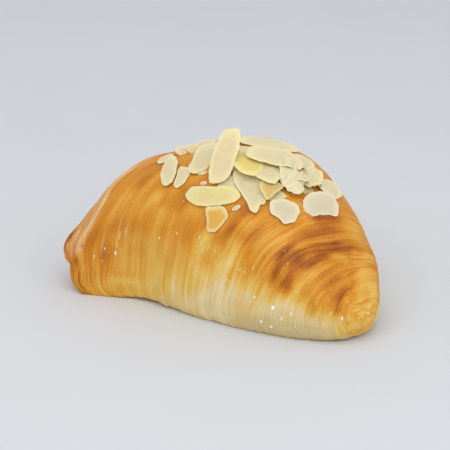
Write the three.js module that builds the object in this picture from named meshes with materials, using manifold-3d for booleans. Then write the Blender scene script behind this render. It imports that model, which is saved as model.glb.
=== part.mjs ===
import * as THREE from 'three';
import { mergeVertices } from 'three/addons/utils/BufferGeometryUtils.js';
import Module from 'manifold-3d';

// A filled pastry shell made of thin wound leaves, lying on its flat underside. The pointed nose is
// toward +X, the pressed mouth is toward -X and sliced almonds lie on the crown. Lengths are millimetres.

// Six control values, from nose to mouth, steer each smooth curve of the shell.
const SIDE_X = [60.8, 60.8, 28.8, -19.3, -41.3, -44.2];
const HALF_WIDTH = [0, 16.5, 40.2, 32.65, 56.95, 54];
const SIDE_HEIGHT = [9.3, 9.3, 10.4, 10.4, 10.4, 11];
const CROWN_X = [60.8, 60.8, 38.9, -0.45, -56.7, -60.8];
const CROWN_HEIGHT = [9.3, 13.25, 49.85, 83.1, 51.2, 13];
const KEEL_HEIGHT = [9.3, -7.8, -7.8, -7.8, -7.8, -7.8];
const RING_SQUARENESS = 2.54;
const MOUTH_SQUARENESS = 1.3;
const CHIN_FLARE = 0.02;
const CHIN_TUCK = 7.6;
const CHIN_LIFT = 0.62;
const CHIN_ROUND = 3.36;
const MOUTH_HEART = [-33, 0, 6];

// Broad swells and hollows, alike on both sides: the place from nose to mouth, the turn around the ring in
// degrees, how far they spread each way and how high they stand.
const SWELLS = [
  { s: 0.8, turn: 122, spread: [0.07, 16], height: 1.75 },
  { s: 0.885, turn: 138, spread: [0.05, 14], height: -0.8 },
  { s: 0.66, turn: 190, spread: [0.1, 34], height: -3.2 },
  { s: 0.94, turn: 155, spread: [0.05, 10], height: 1.5 },
];

// Each leaf edge is a step that faces the nose and then slopes back into the next one.
const LEAF_COUNT = 42;
const LEAF_STEP_LOW = 0.3;
const LEAF_STEP_HIGH = 0.8;
const LEAF_RISE = 0.3;
const LEAF_WANDER = 0.22;
const LUMP = 0.35;
const RING_SEGMENTS = 48;
const SEED = 41;

// The lower lip is a roll that fills the mouth below the upper lip and leaves a groove at the seam.
const LIP_DEPTH = 16;
const LIP_HALF_HEIGHT = 6.7;
const LIP_MIDDLE = 5.2;
const LIP_INSET = 1.4;
const LIP_CORNER_INSET = 3;
const LIP_AIM_X = -10;
const LIP_TAIL = [14, 9];
const LIP_SQUARENESS = 2.8;
const LIP_CORNER_FALL = 0.1;
const LIP_STEPS = 30;
const LIP_SEGMENTS = 16;

// Sliced almonds. At is x and y of the middle, heading is the bearing of the long axis, tip is the slope
// and its bearing, size is length and width, curl is the bend along the length, all angles in degrees.
// Round goes from square to oval and taper widens the front end.
const SLICE_THICKNESS = 0.9;
const SLICE_RIM = 0.55;
const SLICE_WAVE = 0.22;
const SLICE_COLUMNS = 8;
const SLICE_ROWS = 4;
const SLICE_GAP = 0.42;
const BIT_SINK = 0.6;
const BITS = [
  { at: [-26.0, -21.6], heading: 94, tip: [23, -133], size: [7.6, 6.4], curl: 4, round: 0.8, taper: 0.2 },
  { at: [-21.2, -16.8], heading: 40, tip: [42, -45], size: [8.0, 4.6], curl: 4, round: 0.9, taper: 0 },
  { at: [-19.6, -14.0], heading: 62, tip: [38, -40], size: [5.0, 4.2], curl: 4, round: 0.9, taper: 0.1 },
  { at: [-19.6, -7.4], heading: 60, tip: [34, -40], size: [9.0, 4.4], curl: 4, round: 0.9, taper: 0 },
  { at: [10.4, -20.6], heading: 141, tip: [35, -58], size: [9.4, 8.0], curl: 4, round: 0.9, taper: 0 },
  { at: [24.9, 3.9], heading: 77, tip: [29, 5], size: [6.4, 5.0], curl: 4, round: 0.9, taper: 0.1 },
  { at: [23.7, -10.3], heading: 60, tip: [31, -22], size: [8.0, 5.6], curl: 4, round: 0.9, taper: -0.1 },
  { at: [4.0, -12.0], heading: 100, tip: [16, -45], size: [10.0, 7.6], curl: 4, round: 0.9, taper: 0 },
  { at: [-4.4, -2.4], heading: 50, tip: [3, -17], size: [9.0, 8.0], curl: 4, round: 0.9, taper: 0 },
];
const SLICES = [
  { at: [-16.7, -27.8], heading: 132, tip: [34, -90], size: [15.9, 7.1], curl: 14, round: 1, taper: -0.1 },
  { at: [-8.1, -27.8], heading: 110, tip: [37, -77], size: [8.1, 4.6], curl: 10, round: 0.7, taper: 0.2 },
  { at: [-9.4, -17.1], heading: 120, tip: [15, -57], size: [21.0, 8.6], curl: 16, round: 1, taper: 0 },
  { at: [8.3, -27.7], heading: 28, tip: [52, -68], size: [20.8, 7.6], curl: 20, round: 1, taper: -0.1 },
  { at: [14.35, -29.8], heading: 141, tip: [66, -67], size: [8.4, 8.0], curl: 8, round: 0.5, taper: 0.35 },
  { at: [17.6, -17.3], heading: 158, tip: [34, -45], size: [20.2, 9.0], curl: 10, round: 0.8, taper: 0.2 },
  { at: [22.9, -11.3], heading: 96, tip: [34, -9], size: [8.9, 5.1], curl: 8, round: 0.7, taper: 0 },
  { at: [-3.5, 9.7], heading: 44, tip: [10, 29], size: [22.6, 10.5], curl: 12, round: 1, taper: 0 },
  { at: [16.0, -7.4], heading: 32, tip: [20, -8], size: [10.0, 11.4], curl: 10, round: 0.7, taper: 0.1 },
  { at: [9.0, -11.4], heading: -1, tip: [16, -32], size: [13.8, 9.8], curl: 14, round: 0.7, taper: 0 },
  { at: [12.9, 12.7], heading: 50, tip: [25, 26], size: [9.0, 10.0], curl: 10, round: 0.9, taper: 0 },
  { at: [11.3, -1.0], heading: 57, tip: [23, 6], size: [20.2, 10.8], curl: 14, round: 0.9, taper: 0.1 },
  { at: [4.5, -17.5], heading: 114, tip: [46, -55], size: [22.8, 10.2], curl: 12, round: 0.85, taper: 0.08 },
  { at: [27.3, 13.2], heading: -173, tip: [35, 24], size: [9.4, 11.0], curl: 14, round: 0.9, taper: 0 },
  { at: [32.8, 3.1], heading: 71, tip: [41, -5], size: [14.0, 10.8], curl: 12, round: 0.6, taper: 0.12 },
  { at: [23.7, 6.6], heading: 51, tip: [23, -12], size: [9.8, 10.4], curl: 50, round: 0.9, taper: 0 },
  { at: [24.0, -2.9], heading: 162, tip: [36, -18], size: [15.1, 9.5], curl: 30, round: 0.9, taper: 0.2 },
  { at: [31.2, -11.9], heading: 40, tip: [37, -26], size: [11.0, 10.0], curl: 10, round: 0.8, taper: -0.2 },
];

const CRUST_COLOUR = 0xd39a45;
const ALMOND_COLOUR = 0xe8dab2;
const FLOOR_SLAB = 200;

const wasm = await Module();
wasm.setup();

// A repeatable stream of numbers from 0 to 1.
function seededRandom(seed) {
  let state = seed;
  return () => {
    state = (state + 0x6d2b79f5) | 0;
    let mixed = Math.imul(state ^ (state >>> 15), 1 | state);
    mixed = (mixed + Math.imul(mixed ^ (mixed >>> 7), 61 | mixed)) ^ mixed;
    return ((mixed ^ (mixed >>> 14)) >>> 0) / 4294967296;
  };
}

// Blends six control values with the fifth-degree Bernstein weights.
function blend(controls, s) {
  const weights = [1, 5, 10, 10, 5, 1];
  return controls.reduce((sum, value, i) => sum + value * weights[i] * s ** i * (1 - s) ** (5 - i), 0);
}

// A point of the smooth shell: s runs from nose to mouth, v around the ring with the crown at a quarter turn.
function shellPoint(s, v) {
  const side = Math.abs(Math.cos(v));
  const rise = Math.abs(Math.sin(v));
  const upper = Math.sin(v) >= 0;
  const power = RING_SQUARENESS + (upper ? 0 : MOUTH_SQUARENESS * s ** 3);
  const reach = (side ** power + rise ** power) ** (-1 / power);
  const lift = rise * reach;
  const sideX = blend(SIDE_X, s);
  const middle = blend(SIDE_HEIGHT, s);
  const far = upper ? blend(CROWN_HEIGHT, s) : blend(KEEL_HEIGHT, s);
  const flare = upper ? 1 : 1 + CHIN_FLARE * s ** 6 * lift;
  const tuck = CHIN_TUCK * s ** 3 * Math.min(lift / CHIN_LIFT, 1) ** CHIN_ROUND;
  const shift = upper ? (blend(CROWN_X, s) - sideX) * lift : tuck;
  return new THREE.Vector3(
    sideX + shift,
    blend(HALF_WIDTH, s) * Math.cos(v) * reach * flare,
    middle + (far - middle) * lift,
  );
}

// The outward direction of the smooth shell, from two short chords across the point.
function shellNormal(s, v) {
  const ahead = Math.min(s + 0.004, 1);
  const behind = Math.max(s - 0.004, 0);
  const along = shellPoint(ahead, v).sub(shellPoint(behind, v));
  const around = shellPoint(s, v + 0.01).sub(shellPoint(s, v - 0.01));
  return along.cross(around).normalize();
}

// The height of the broad swells at a place on the shell.
function swellAt(s, v) {
  const turn = THREE.MathUtils.radToDeg(v);
  const mirrored = 90 + Math.abs((turn > 270 ? turn - 360 : turn) - 90);
  return SWELLS.reduce((sum, swell) => {
    const along = (s - swell.s) / swell.spread[0];
    const around = (mirrored - swell.turn) / swell.spread[1];
    return sum + swell.height * Math.exp(-(along ** 2) - around ** 4);
  }, 0);
}

// Makes a closed geometry from points and triangles.
function solidGeometry(points, triangles) {
  const geometry = new THREE.BufferGeometry();
  const numbers = points.flatMap((p) => [p.x, p.y, p.z]);
  geometry.setAttribute('position', new THREE.Float32BufferAttribute(numbers, 3));
  geometry.setIndex(triangles.flat());
  return geometry;
}

// Joins rings of equal length into a closed skin with a point at either end.
function skinRings(rings, first, last) {
  const count = rings[0].length;
  const points = [first, ...rings.flat(), last];
  const triangles = [];
  const at = (ring, k) => 1 + ring * count + (k % count);
  for (let k = 0; k < count; k += 1) {
    triangles.push([0, at(0, k), at(0, k + 1)]);
    triangles.push([points.length - 1, at(rings.length - 1, k + 1), at(rings.length - 1, k)]);
    for (let ring = 0; ring < rings.length - 1; ring += 1) {
      triangles.push([at(ring, k), at(ring + 1, k), at(ring + 1, k + 1)]);
      triangles.push([at(ring, k), at(ring + 1, k + 1), at(ring, k + 1)]);
    }
  }
  return solidGeometry(points, triangles);
}

// The shell with the stepped edges of its leaves.
function leafyShell(random) {
  const rings = [];
  const pitch = 0.97 / LEAF_COUNT;
  const ring = (s, height, phase) => {
    const points = [];
    for (let k = 0; k < RING_SEGMENTS; k += 1) {
      const v = (k / RING_SEGMENTS) * 2 * Math.PI;
      const fade = Math.min(1, s * 8) * Math.min(1, (1 - s) * 12);
      const place = s + fade * LEAF_WANDER * pitch * Math.sin(2 * v + phase);
      const lump = LUMP * Math.sin(3 * v + 9 * s) * Math.sin(2 * v - 14 * s);
      const out = fade * (height + lump + swellAt(place, v));
      points.push(shellPoint(place, v).addScaledVector(shellNormal(place, v), out));
    }
    return points;
  };
  for (let leaf = 0; leaf < LEAF_COUNT; leaf += 1) {
    const start = 0.015 + leaf * pitch;
    const height = LEAF_STEP_LOW + (LEAF_STEP_HIGH - LEAF_STEP_LOW) * random();
    const phase = 0.5 * leaf + random();
    rings.push(ring(start, 0, phase));
    rings.push(ring(start + LEAF_RISE * pitch, height, phase));
  }
  rings.push(ring(1, 0, 0));
  return skinRings(rings, shellPoint(0, 0), new THREE.Vector3(...MOUTH_HEART));
}

// The lower lip: a roll swept inside the mouth edge, with a tail past each corner that ends inside the shell.
function lowerLip() {
  const rings = [];
  const middles = [];
  for (let step = -1; step <= LIP_STEPS + 1; step += 1) {
    const v = THREE.MathUtils.clamp(step / LIP_STEPS, 0, 1) * Math.PI;
    const edge = shellPoint(1, v);
    const inward = new THREE.Vector3(LIP_AIM_X - edge.x, -edge.y, 0).normalize();
    const corner = Math.abs(Math.cos(v)) ** 6;
    const swell = 1 - LIP_CORNER_FALL * corner;
    const inset = LIP_INSET + LIP_CORNER_INSET * corner;
    const middle = edge.clone().addScaledVector(inward, inset + LIP_DEPTH);
    middle.z = LIP_MIDDLE;
    if (step < 0 || step > LIP_STEPS) {
      middle.x += LIP_TAIL[0];
      middle.y -= Math.sign(edge.y) * LIP_TAIL[1];
    }
    const ring = [];
    for (let k = 0; k < LIP_SEGMENTS; k += 1) {
      const turn = (k / LIP_SEGMENTS) * 2 * Math.PI;
      const across = Math.abs(Math.cos(turn));
      const up = Math.abs(Math.sin(turn));
      const reach = (across ** LIP_SQUARENESS + up ** LIP_SQUARENESS) ** (-1 / LIP_SQUARENESS);
      const point = middle.clone().addScaledVector(inward, -LIP_DEPTH * reach * Math.cos(turn));
      point.z += LIP_HALF_HEIGHT * swell * reach * Math.sin(turn);
      ring.push(point);
    }
    rings.push(ring);
    middles.push(middle);
  }
  return skinRings(rings, middles[0], middles[middles.length - 1]);
}

// A thin wavy almond slice about its own middle, long axis along x, both faces split alike.
function sliceGeometry(slice, phase) {
  const points = [];
  const triangles = [];
  const turn = THREE.MathUtils.degToRad(Math.max(slice.curl, 1));
  const [length, width] = slice.size;
  const radius = length / turn;
  const faces = [1, -1];
  for (const face of faces) {
    for (let i = 0; i <= SLICE_COLUMNS; i += 1) {
      for (let j = 0; j <= SLICE_ROWS; j += 1) {
        const u = (2 * i) / SLICE_COLUMNS - 1;
        const w = (2 * j) / SLICE_ROWS - 1;
        const along = u * Math.sqrt(1 - (slice.round * w * w) / 2);
        const across = w * Math.sqrt(1 - (slice.round * u * u) / 2) * (1 + slice.taper * along);
        const bend = (turn / 2) * along;
        const wave = SLICE_WAVE * Math.sin(3 * along + phase) * across;
        const rim = Math.max(Math.abs(u), Math.abs(w)) ** 4;
        const half = (SLICE_THICKNESS / 2) * (1 - (1 - SLICE_RIM) * rim);
        const out = wave + face * half;
        points.push(new THREE.Vector3(
          radius * Math.sin(bend) + out * Math.sin(bend),
          (across * width) / 2,
          radius * (Math.cos(bend) - 1) + out * Math.cos(bend),
        ));
      }
    }
  }
  const lower = (SLICE_COLUMNS + 1) * (SLICE_ROWS + 1);
  const at = (i, j) => i * (SLICE_ROWS + 1) + j;
  for (let i = 0; i < SLICE_COLUMNS; i += 1) {
    for (let j = 0; j < SLICE_ROWS; j += 1) {
      const corners = [at(i, j), at(i + 1, j), at(i + 1, j + 1), at(i, j + 1)];
      triangles.push([corners[0], corners[1], corners[2]], [corners[0], corners[2], corners[3]]);
      triangles.push([lower + corners[2], lower + corners[1], lower + corners[0]]);
      triangles.push([lower + corners[3], lower + corners[2], lower + corners[0]]);
    }
  }
  const edge = [];
  for (let i = 0; i < SLICE_COLUMNS; i += 1) {
    edge.push(at(i, 0));
  }
  for (let j = 0; j < SLICE_ROWS; j += 1) {
    edge.push(at(SLICE_COLUMNS, j));
  }
  for (let i = SLICE_COLUMNS; i > 0; i -= 1) {
    edge.push(at(i, SLICE_ROWS));
  }
  for (let j = SLICE_ROWS; j > 0; j -= 1) {
    edge.push(at(0, j));
  }
  edge.forEach((from, k) => {
    const to = edge[(k + 1) % edge.length];
    triangles.push([from, lower + from, lower + to], [from, lower + to, to]);
  });
  return solidGeometry(points, triangles);
}

// Turns a slice to its heading and tip, still at height zero.
function poseSlice(geometry, slice) {
  const lean = THREE.MathUtils.degToRad(slice.tip[0]);
  const toward = THREE.MathUtils.degToRad(slice.tip[1]);
  const heading = THREE.MathUtils.degToRad(slice.heading);
  const up = new THREE.Vector3(
    Math.sin(lean) * Math.cos(toward),
    Math.sin(lean) * Math.sin(toward),
    Math.cos(lean),
  );
  const long = new THREE.Vector3(Math.cos(heading), Math.sin(heading), 0);
  long.z = -(long.x * up.x + long.y * up.y) / up.z;
  long.normalize();
  const pose = new THREE.Matrix4().makeBasis(long, up.clone().cross(long), up);
  pose.setPosition(slice.at[0], slice.at[1], 0);
  geometry.applyMatrix4(pose);
  return geometry;
}

// The points and triangles of a geometry as vectors.
function facets(geometry) {
  const position = geometry.getAttribute('position');
  const points = [];
  for (let k = 0; k < position.count; k += 1) {
    points.push(new THREE.Vector3().fromBufferAttribute(position, k));
  }
  const index = geometry.getIndex().array;
  const triangles = [];
  for (let k = 0; k < index.length; k += 3) {
    triangles.push([points[index[k]], points[index[k + 1]], points[index[k + 2]]]);
  }
  return { points, triangles };
}

// The height of a triangle over the plan place of a point, or null when the point is beside it.
function heightAt(triangle, point) {
  const [a, b, c] = triangle;
  const area = (b.x - a.x) * (c.y - a.y) - (c.x - a.x) * (b.y - a.y);
  if (Math.abs(area) < 1e-9) return null;
  const second = ((point.x - a.x) * (c.y - a.y) - (c.x - a.x) * (point.y - a.y)) / area;
  const third = ((b.x - a.x) * (point.y - a.y) - (point.x - a.x) * (b.y - a.y)) / area;
  if (second < 0 || third < 0 || second + third > 1) return null;
  return a.z + second * (b.z - a.z) + third * (c.z - a.z);
}

// The lift that sets a body down on everything below it.
function restingLift(body, pile) {
  let lift = -Infinity;
  for (const below of pile) {
    for (const point of body.points) {
      for (const triangle of below.triangles) {
        const height = heightAt(triangle, point);
        if (height !== null) lift = Math.max(lift, height - point.z);
      }
    }
    for (const point of below.points) {
      for (const triangle of body.triangles) {
        const height = heightAt(triangle, point);
        if (height !== null) lift = Math.max(lift, point.z - height);
      }
    }
  }
  return lift;
}

// Hands a closed geometry to the solid joiner.
function toSolid(geometry) {
  const bare = geometry.clone();
  bare.deleteAttribute('normal');
  bare.deleteAttribute('uv');
  const welded = mergeVertices(bare, 1e-5);
  const mesh = new wasm.Mesh({
    numProp: 3,
    vertProperties: new Float32Array(welded.getAttribute('position').array),
    triVerts: new Uint32Array(welded.getIndex().array),
  });
  return new wasm.Manifold(mesh);
}

// Takes a joined solid back as a geometry.
function fromSolid(solid) {
  const mesh = solid.getMesh();
  const geometry = new THREE.BufferGeometry();
  geometry.setAttribute('position', new THREE.BufferAttribute(new Float32Array(mesh.vertProperties), 3));
  geometry.setIndex(new THREE.BufferAttribute(new Uint32Array(mesh.triVerts), 1));
  return geometry;
}

// A named mesh with a plain finish.
function namedMesh(name, geometry, colour, roughness) {
  geometry.computeVertexNormals();
  const material = new THREE.MeshStandardMaterial({ color: colour, roughness, metalness: 0 });
  const mesh = new THREE.Mesh(geometry, material);
  mesh.name = name;
  return mesh;
}

const random = seededRandom(SEED);
const floor = new THREE.BoxGeometry(FLOOR_SLAB, FLOOR_SLAB, FLOOR_SLAB);
floor.translate(0, 0, -FLOOR_SLAB / 2);
let pastry = toSolid(leafyShell(random)).add(toSolid(lowerLip())).subtract(toSolid(floor));

// Small broken bits are sunk into the crust and become one body with it.
const crust = facets(fromSolid(pastry));
for (const bit of BITS) {
  const geometry = poseSlice(sliceGeometry(bit, 6 * random()), bit);
  geometry.translate(0, 0, restingLift(facets(geometry), [crust]) - BIT_SINK);
  pastry = pastry.add(toSolid(geometry));
}
const pastryGeometry = fromSolid(pastry);

// Larger slices are set down one by one, each clear of all that lies below it.
const pile = [facets(pastryGeometry)];
const sfogliatella = new THREE.Group();
sfogliatella.name = 'sfogliatella';
sfogliatella.add(namedMesh('pastry', pastryGeometry, CRUST_COLOUR, 0.45));
SLICES.forEach((slice, k) => {
  const geometry = poseSlice(sliceGeometry(slice, 6 * random()), slice);
  geometry.translate(0, 0, restingLift(facets(geometry), pile) + SLICE_GAP);
  pile.push(facets(geometry));
  sfogliatella.add(namedMesh(`almond_slice_${String(k + 1).padStart(2, '0')}`, geometry, ALMOND_COLOUR, 0.6));
});

export default sfogliatella;
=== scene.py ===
"""Dresses a wound, almond-strewn pastry: its leafy crust, pressed lip, almond slices, crumbs and syrup.

Lengths are millimetres until a mesh is made, angles are degrees. On the crust, lam runs along the wound
leaves from nose (0) to mouth (1) and v runs around each ring: 0 on the far side, 90 on the crown, 180 on
the near side, with the floor below.
"""

import logging
import math
from collections.abc import Sequence
from dataclasses import astuple, dataclass, field
from enum import Enum

import bpy
import numpy as np
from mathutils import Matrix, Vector


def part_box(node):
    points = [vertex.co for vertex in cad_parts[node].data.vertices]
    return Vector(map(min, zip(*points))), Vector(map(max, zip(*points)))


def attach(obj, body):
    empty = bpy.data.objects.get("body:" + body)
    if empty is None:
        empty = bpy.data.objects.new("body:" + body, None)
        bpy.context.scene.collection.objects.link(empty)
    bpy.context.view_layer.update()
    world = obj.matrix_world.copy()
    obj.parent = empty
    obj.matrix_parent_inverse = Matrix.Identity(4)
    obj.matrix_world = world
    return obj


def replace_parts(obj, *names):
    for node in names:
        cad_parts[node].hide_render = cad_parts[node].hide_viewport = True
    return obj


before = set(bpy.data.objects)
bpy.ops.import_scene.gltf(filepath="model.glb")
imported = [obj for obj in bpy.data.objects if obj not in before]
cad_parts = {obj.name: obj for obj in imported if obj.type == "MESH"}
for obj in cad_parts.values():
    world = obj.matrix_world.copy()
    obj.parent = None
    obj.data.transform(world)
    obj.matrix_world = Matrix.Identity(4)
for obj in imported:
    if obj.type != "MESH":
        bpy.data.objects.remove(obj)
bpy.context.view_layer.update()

MM = 0.001
BODY = "root"
NOISE_TABLE = (512, 64)
LOG = logging.getLogger("pastry")

Array = np.ndarray
Point = tuple[float, float]
Span = tuple[float, float]
Settings = dict[str | int, object]
Links = dict[str | int, bpy.types.NodeSocket]


def linear(hex_colour: str) -> tuple[float, float, float, float]:
    """Turns an sRGB hex colour into linear light.

    Args:
        hex_colour: six hex digits after a hash sign.

    Returns:
        Red, green, blue and an alpha of one.
    """
    channels = [int(hex_colour[k : k + 2], 16) / 255 for k in (1, 3, 5)]
    red, green, blue = (c / 12.92 if c <= 0.04045 else ((c + 0.055) / 1.055) ** 2.4 for c in channels)
    return red, green, blue, 1.0


def smooth_step(low: float | Array, high: float | Array, value: float | Array) -> Array:
    """Eased rise from 0 at low to 1 at high: three times the share squared less twice its cube."""
    share = np.clip((value - low) / (high - low), 0.0, 1.0)
    return share * share * (3.0 - 2.0 * share)


def bell(away: Array, half: float, power: int = 2) -> Array:
    """A bell curve: one in the middle, falling as a power of the distance over the half width."""
    return np.exp(-((away / half) ** power))


def lattice_noise(across: Array, along: Array, seed: int) -> Array:
    """Smooth noise: seeded values from -1 to 1 on whole-number places, eased between them both ways.

    Args:
        across: first coordinate, in lattice cells.
        along: second coordinate, in lattice cells.
        seed: picks the random values.

    Returns:
        The noise at each place.
    """
    across, along = np.broadcast_arrays(across, along)
    table = np.random.default_rng(seed).uniform(-1.0, 1.0, NOISE_TABLE)
    row, column = np.floor(across).astype(int), np.floor(along).astype(int)
    down, right = across - row, along - column
    down, right = down * down * (3 - 2 * down), right * right * (3 - 2 * right)
    rows, columns = NOISE_TABLE
    here, after = column % columns, (column + 1) % columns
    near, far = (
        table[line % rows, here] * (1 - right) + table[line % rows, after] * right
        for line in (row, row + 1)
    )
    return near * (1 - down) + far * down


def unit(vectors: Array) -> Array:
    """Scales each vector to length one."""
    return vectors / np.maximum(np.linalg.norm(vectors, axis=-1, keepdims=True), 1e-9)


def ring_faces(rings: int, around: int) -> Array:
    """Quads of a stack of closed rings, counted ring by ring.

    Args:
        rings: number of rings.
        around: points in each ring.

    Returns:
        Four point numbers for each quad.
    """
    ring, place = np.meshgrid(np.arange(rings - 1) * around, np.arange(around), indexing="ij")
    after = (place + 1) % around
    corners = (ring + place, ring + around + place, ring + around + after, ring + after)
    return np.stack(corners, -1).reshape(-1, 4)


def closed_skin(rings: Array, first: Array, last: Array, start: int = 0) -> tuple[Array, list[list[int]]]:
    """Closes a stack of rings with one point at either end.

    Args:
        rings: points shaped rings by places by three.
        first: point that closes the first ring.
        last: point that closes the last ring.
        start: number of the first point in the faces.

    Returns:
        All points and the faces between them.
    """
    count, around, _ = rings.shape
    points = np.concatenate([rings.reshape(-1, 3), first[None], last[None]])
    place = np.arange(around)
    after = (place + 1) % around
    closer = np.full(around, count * around)
    final = (count - 1) * around
    start_cap = np.stack([closer, place, after], -1)
    end_cap = np.stack([closer + 1, final + after, final + place], -1)
    kinds = (ring_faces(count, around), start_cap, end_cap)
    return points, [face for faces in kinds for face in (faces + start).tolist()]


def add_piece(
    name: str,
    points: Array,
    faces: Sequence[Sequence[int]],
    material: bpy.types.Material,
    shades: dict[str, Array],
) -> bpy.types.Object:
    """Makes a smooth mesh piece that rides on the pastry.

    Args:
        name: name of the piece.
        points: its points in millimetres.
        faces: point numbers of each face, facing outwards.
        material: its finish.
        shades: one number per point under each attribute name.

    Returns:
        The new object, standing at the origin.
    """
    mesh = bpy.data.meshes.new(name)
    mesh.from_pydata((points * MM).tolist(), [], faces)
    for attribute, values in shades.items():
        layer = mesh.attributes.new(attribute, "FLOAT", "POINT")
        layer.data.foreach_set("value", np.asarray(values, np.float32).ravel())
    mesh.polygons.foreach_set("use_smooth", np.ones(len(mesh.polygons), bool))
    mesh.materials.append(material)
    mesh.validate()
    mesh.update()
    piece = bpy.data.objects.new(name, mesh)
    bpy.context.scene.collection.objects.link(piece)
    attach(piece, BODY)
    LOG.info("%s: %d points, %d faces", name, len(mesh.vertices), len(mesh.polygons))
    return piece


def add_node(
    tree: bpy.types.NodeTree, kind: str, settings: Settings | None = None, links: Links | None = None
) -> bpy.types.Node:
    """Adds one shader node, sets it up and links its inputs.

    Args:
        tree: the material's node tree.
        kind: the node's type name.
        settings: properties by name, or input values by socket name or number.
        links: source sockets by input name or number.

    Returns:
        The new node.
    """
    node = tree.nodes.new(kind)
    for key, value in (settings or {}).items():
        if isinstance(key, int) or key in node.inputs:
            node.inputs[key].default_value = value
        else:
            setattr(node, key, value)
    for key, source in (links or {}).items():
        tree.links.new(source, node.inputs[key])
    return node


@dataclass(frozen=True)
class Grain:
    """A cloudy grain: the width of its lumps on the piece and the number of finer octaves in them."""

    size_mm: float
    detail: float = 2.0

    def settings(self) -> Settings:
        """Noise settings, for object coordinates, that give lumps of that width."""
        return {"Scale": 1.0 / (self.size_mm * MM), "Detail": self.detail, "Roughness": 0.6}


class Finish:
    """A finish: its own patterns, which each kind adds in shade, under one surface shader."""

    name: str

    def shade(self, tree: bpy.types.NodeTree) -> tuple[Settings, Links]:
        """Adds the patterns and gives the surface shader's settings and links."""
        raise NotImplementedError

    def material(self) -> bpy.types.Material:
        """Makes the material from the patterns, the surface shader and its output.

        Returns:
            The new material.
        """
        material = bpy.data.materials.new(self.name)
        material.use_nodes = True
        tree = material.node_tree
        tree.nodes.clear()
        settings, links = self.shade(tree)
        shader = add_node(tree, "ShaderNodeBsdfPrincipled", settings, links)
        add_node(tree, "ShaderNodeOutputMaterial", links={"Surface": shader.outputs[0]})
        return material


@dataclass(frozen=True)
class BakedDough(Finish):
    """Laminated wheat dough, brushed with syrup and oven baked.

    It goes from cream, where the heat did not reach, through gold to brown on the proud leaves. Flour
    leaves a pale dusting, soaked-in syrup a wet beige, and dried syrup a low, broken gloss. The same pale
    cover also carries painted highlights on the ridge of the fold and in a few streaks.
    """

    name: str = "baked_laminated_dough"
    browning: tuple[tuple[float, str], ...] = (
        (0.00, "#e8d5a3"),
        (0.25, "#e4b956"),
        (0.50, "#d68f24"),
        (0.75, "#b4640f"),
        (1.00, "#7e3d08"),
    )
    dust_and_highlight_colour: str = "#e8c790"
    soaked: str = "#d0ba88"
    crumb: Grain = Grain(0.9, 3.0)
    pore: Grain = Grain(0.35)
    pore_depth_mm: float = 0.08
    mottling: float = 0.24
    roughness: Span = (0.48, 0.66)
    glaze_gloss: float = 0.14

    def shade(self, tree: bpy.types.NodeTree) -> tuple[Settings, Links]:
        """Adds the patterns: browning from the bake attribute, flour with painted highlights, soaked
        patches, gloss and fine pores.

        Args:
            tree: the material's node tree.

        Returns:
            The surface shader's settings and links.
        """
        bake, dust_and_highlight, soak, glaze = (
            add_node(tree, "ShaderNodeAttribute", {"attribute_name": name}).outputs["Fac"]
            for name in ("bake", "dust_and_highlight", "soak", "glaze")
        )
        place = {"Vector": add_node(tree, "ShaderNodeTexCoord").outputs["Object"]}
        crumb, pore = (
            add_node(tree, "ShaderNodeTexNoise", grain.settings(), place).outputs[0]
            for grain in (self.crumb, self.pore)
        )
        low, high = self.roughness
        scale = {"operation": "MULTIPLY_ADD"}
        spread = scale | {1: self.mottling, 2: -self.mottling / 2}
        mottled = add_node(tree, "ShaderNodeMath", spread, {0: crumb})
        dull = add_node(tree, "ShaderNodeMath", scale | {1: high - low, 2: low}, {0: crumb})
        polish = scale | {1: -self.glaze_gloss}
        gloss = add_node(tree, "ShaderNodeMath", polish, {0: glaze, 2: dull.outputs[0]})
        shade = add_node(tree, "ShaderNodeMath", {"operation": "ADD"}, {0: bake, 1: mottled.outputs[0]})
        ramp = add_node(tree, "ShaderNodeValToRGB", links={"Fac": shade.outputs[0]})
        while len(ramp.color_ramp.elements) < len(self.browning):
            ramp.color_ramp.elements.new(0.5)
        for stop, (level, colour) in zip(ramp.color_ramp.elements, self.browning):
            stop.position = level
            stop.color = linear(colour)
        surface = ramp.outputs["Color"]
        # Pale cover from the flour share: partly flour on the rim, partly painted highlights on the ridge
        # of the fold and a few streaks.
        for cover, share in ((self.dust_and_highlight_colour, dust_and_highlight), (self.soaked, soak)):
            mix = {"data_type": "RGBA", 7: linear(cover)}
            surface = add_node(tree, "ShaderNodeMix", mix, {0: share, 6: surface}).outputs[2]
        relief = {"Strength": 0.25, "Distance": self.pore_depth_mm * MM}
        bump = add_node(tree, "ShaderNodeBump", relief, {"Height": pore})
        settings = {
            "IOR": 1.45,
            "Specular IOR Level": 0.28,
            "Subsurface Weight": 0.08,
            "Subsurface Radius": (1.0, 0.45, 0.2),
            "Subsurface Scale": 1.2 * MM,
            "Coat Weight": 0.03,
            "Coat Roughness": 0.22,
        }
        return settings, {"Base Color": surface, "Roughness": gloss.outputs[0], "Normal": bump.outputs[0]}


class AlmondTone(Enum):
    """Colours of an almond slice: its face, its rim, paler as a painted glow of light through the thin
    edge, and its warmer veins.
    """

    CREAM = ("#dfd1aa", "#e8daab", "#d8c698")
    WHITE = ("#dcd0b4", "#e6dabb", "#d3c3a2")
    YELLOW = ("#e7d69d", "#ecdc9d", "#e1cb86")
    # Painted light: a lighter copy of the cream tone for a crumpled slice that sits in brighter light.
    IVORY_LIT = ("#e6dcb8", "#ecdfb4", "#e0d2a8")
    GOLD = ("#e6d286", "#ebda98", "#dec672")
    TOASTED = ("#e5b652", "#ecdba8", "#dfa843")
    # Painted shade: a darker, tan tone for a slice that lies in shade.
    TAN = ("#d5bb76", "#dfcc94", "#ccae66")


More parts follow.
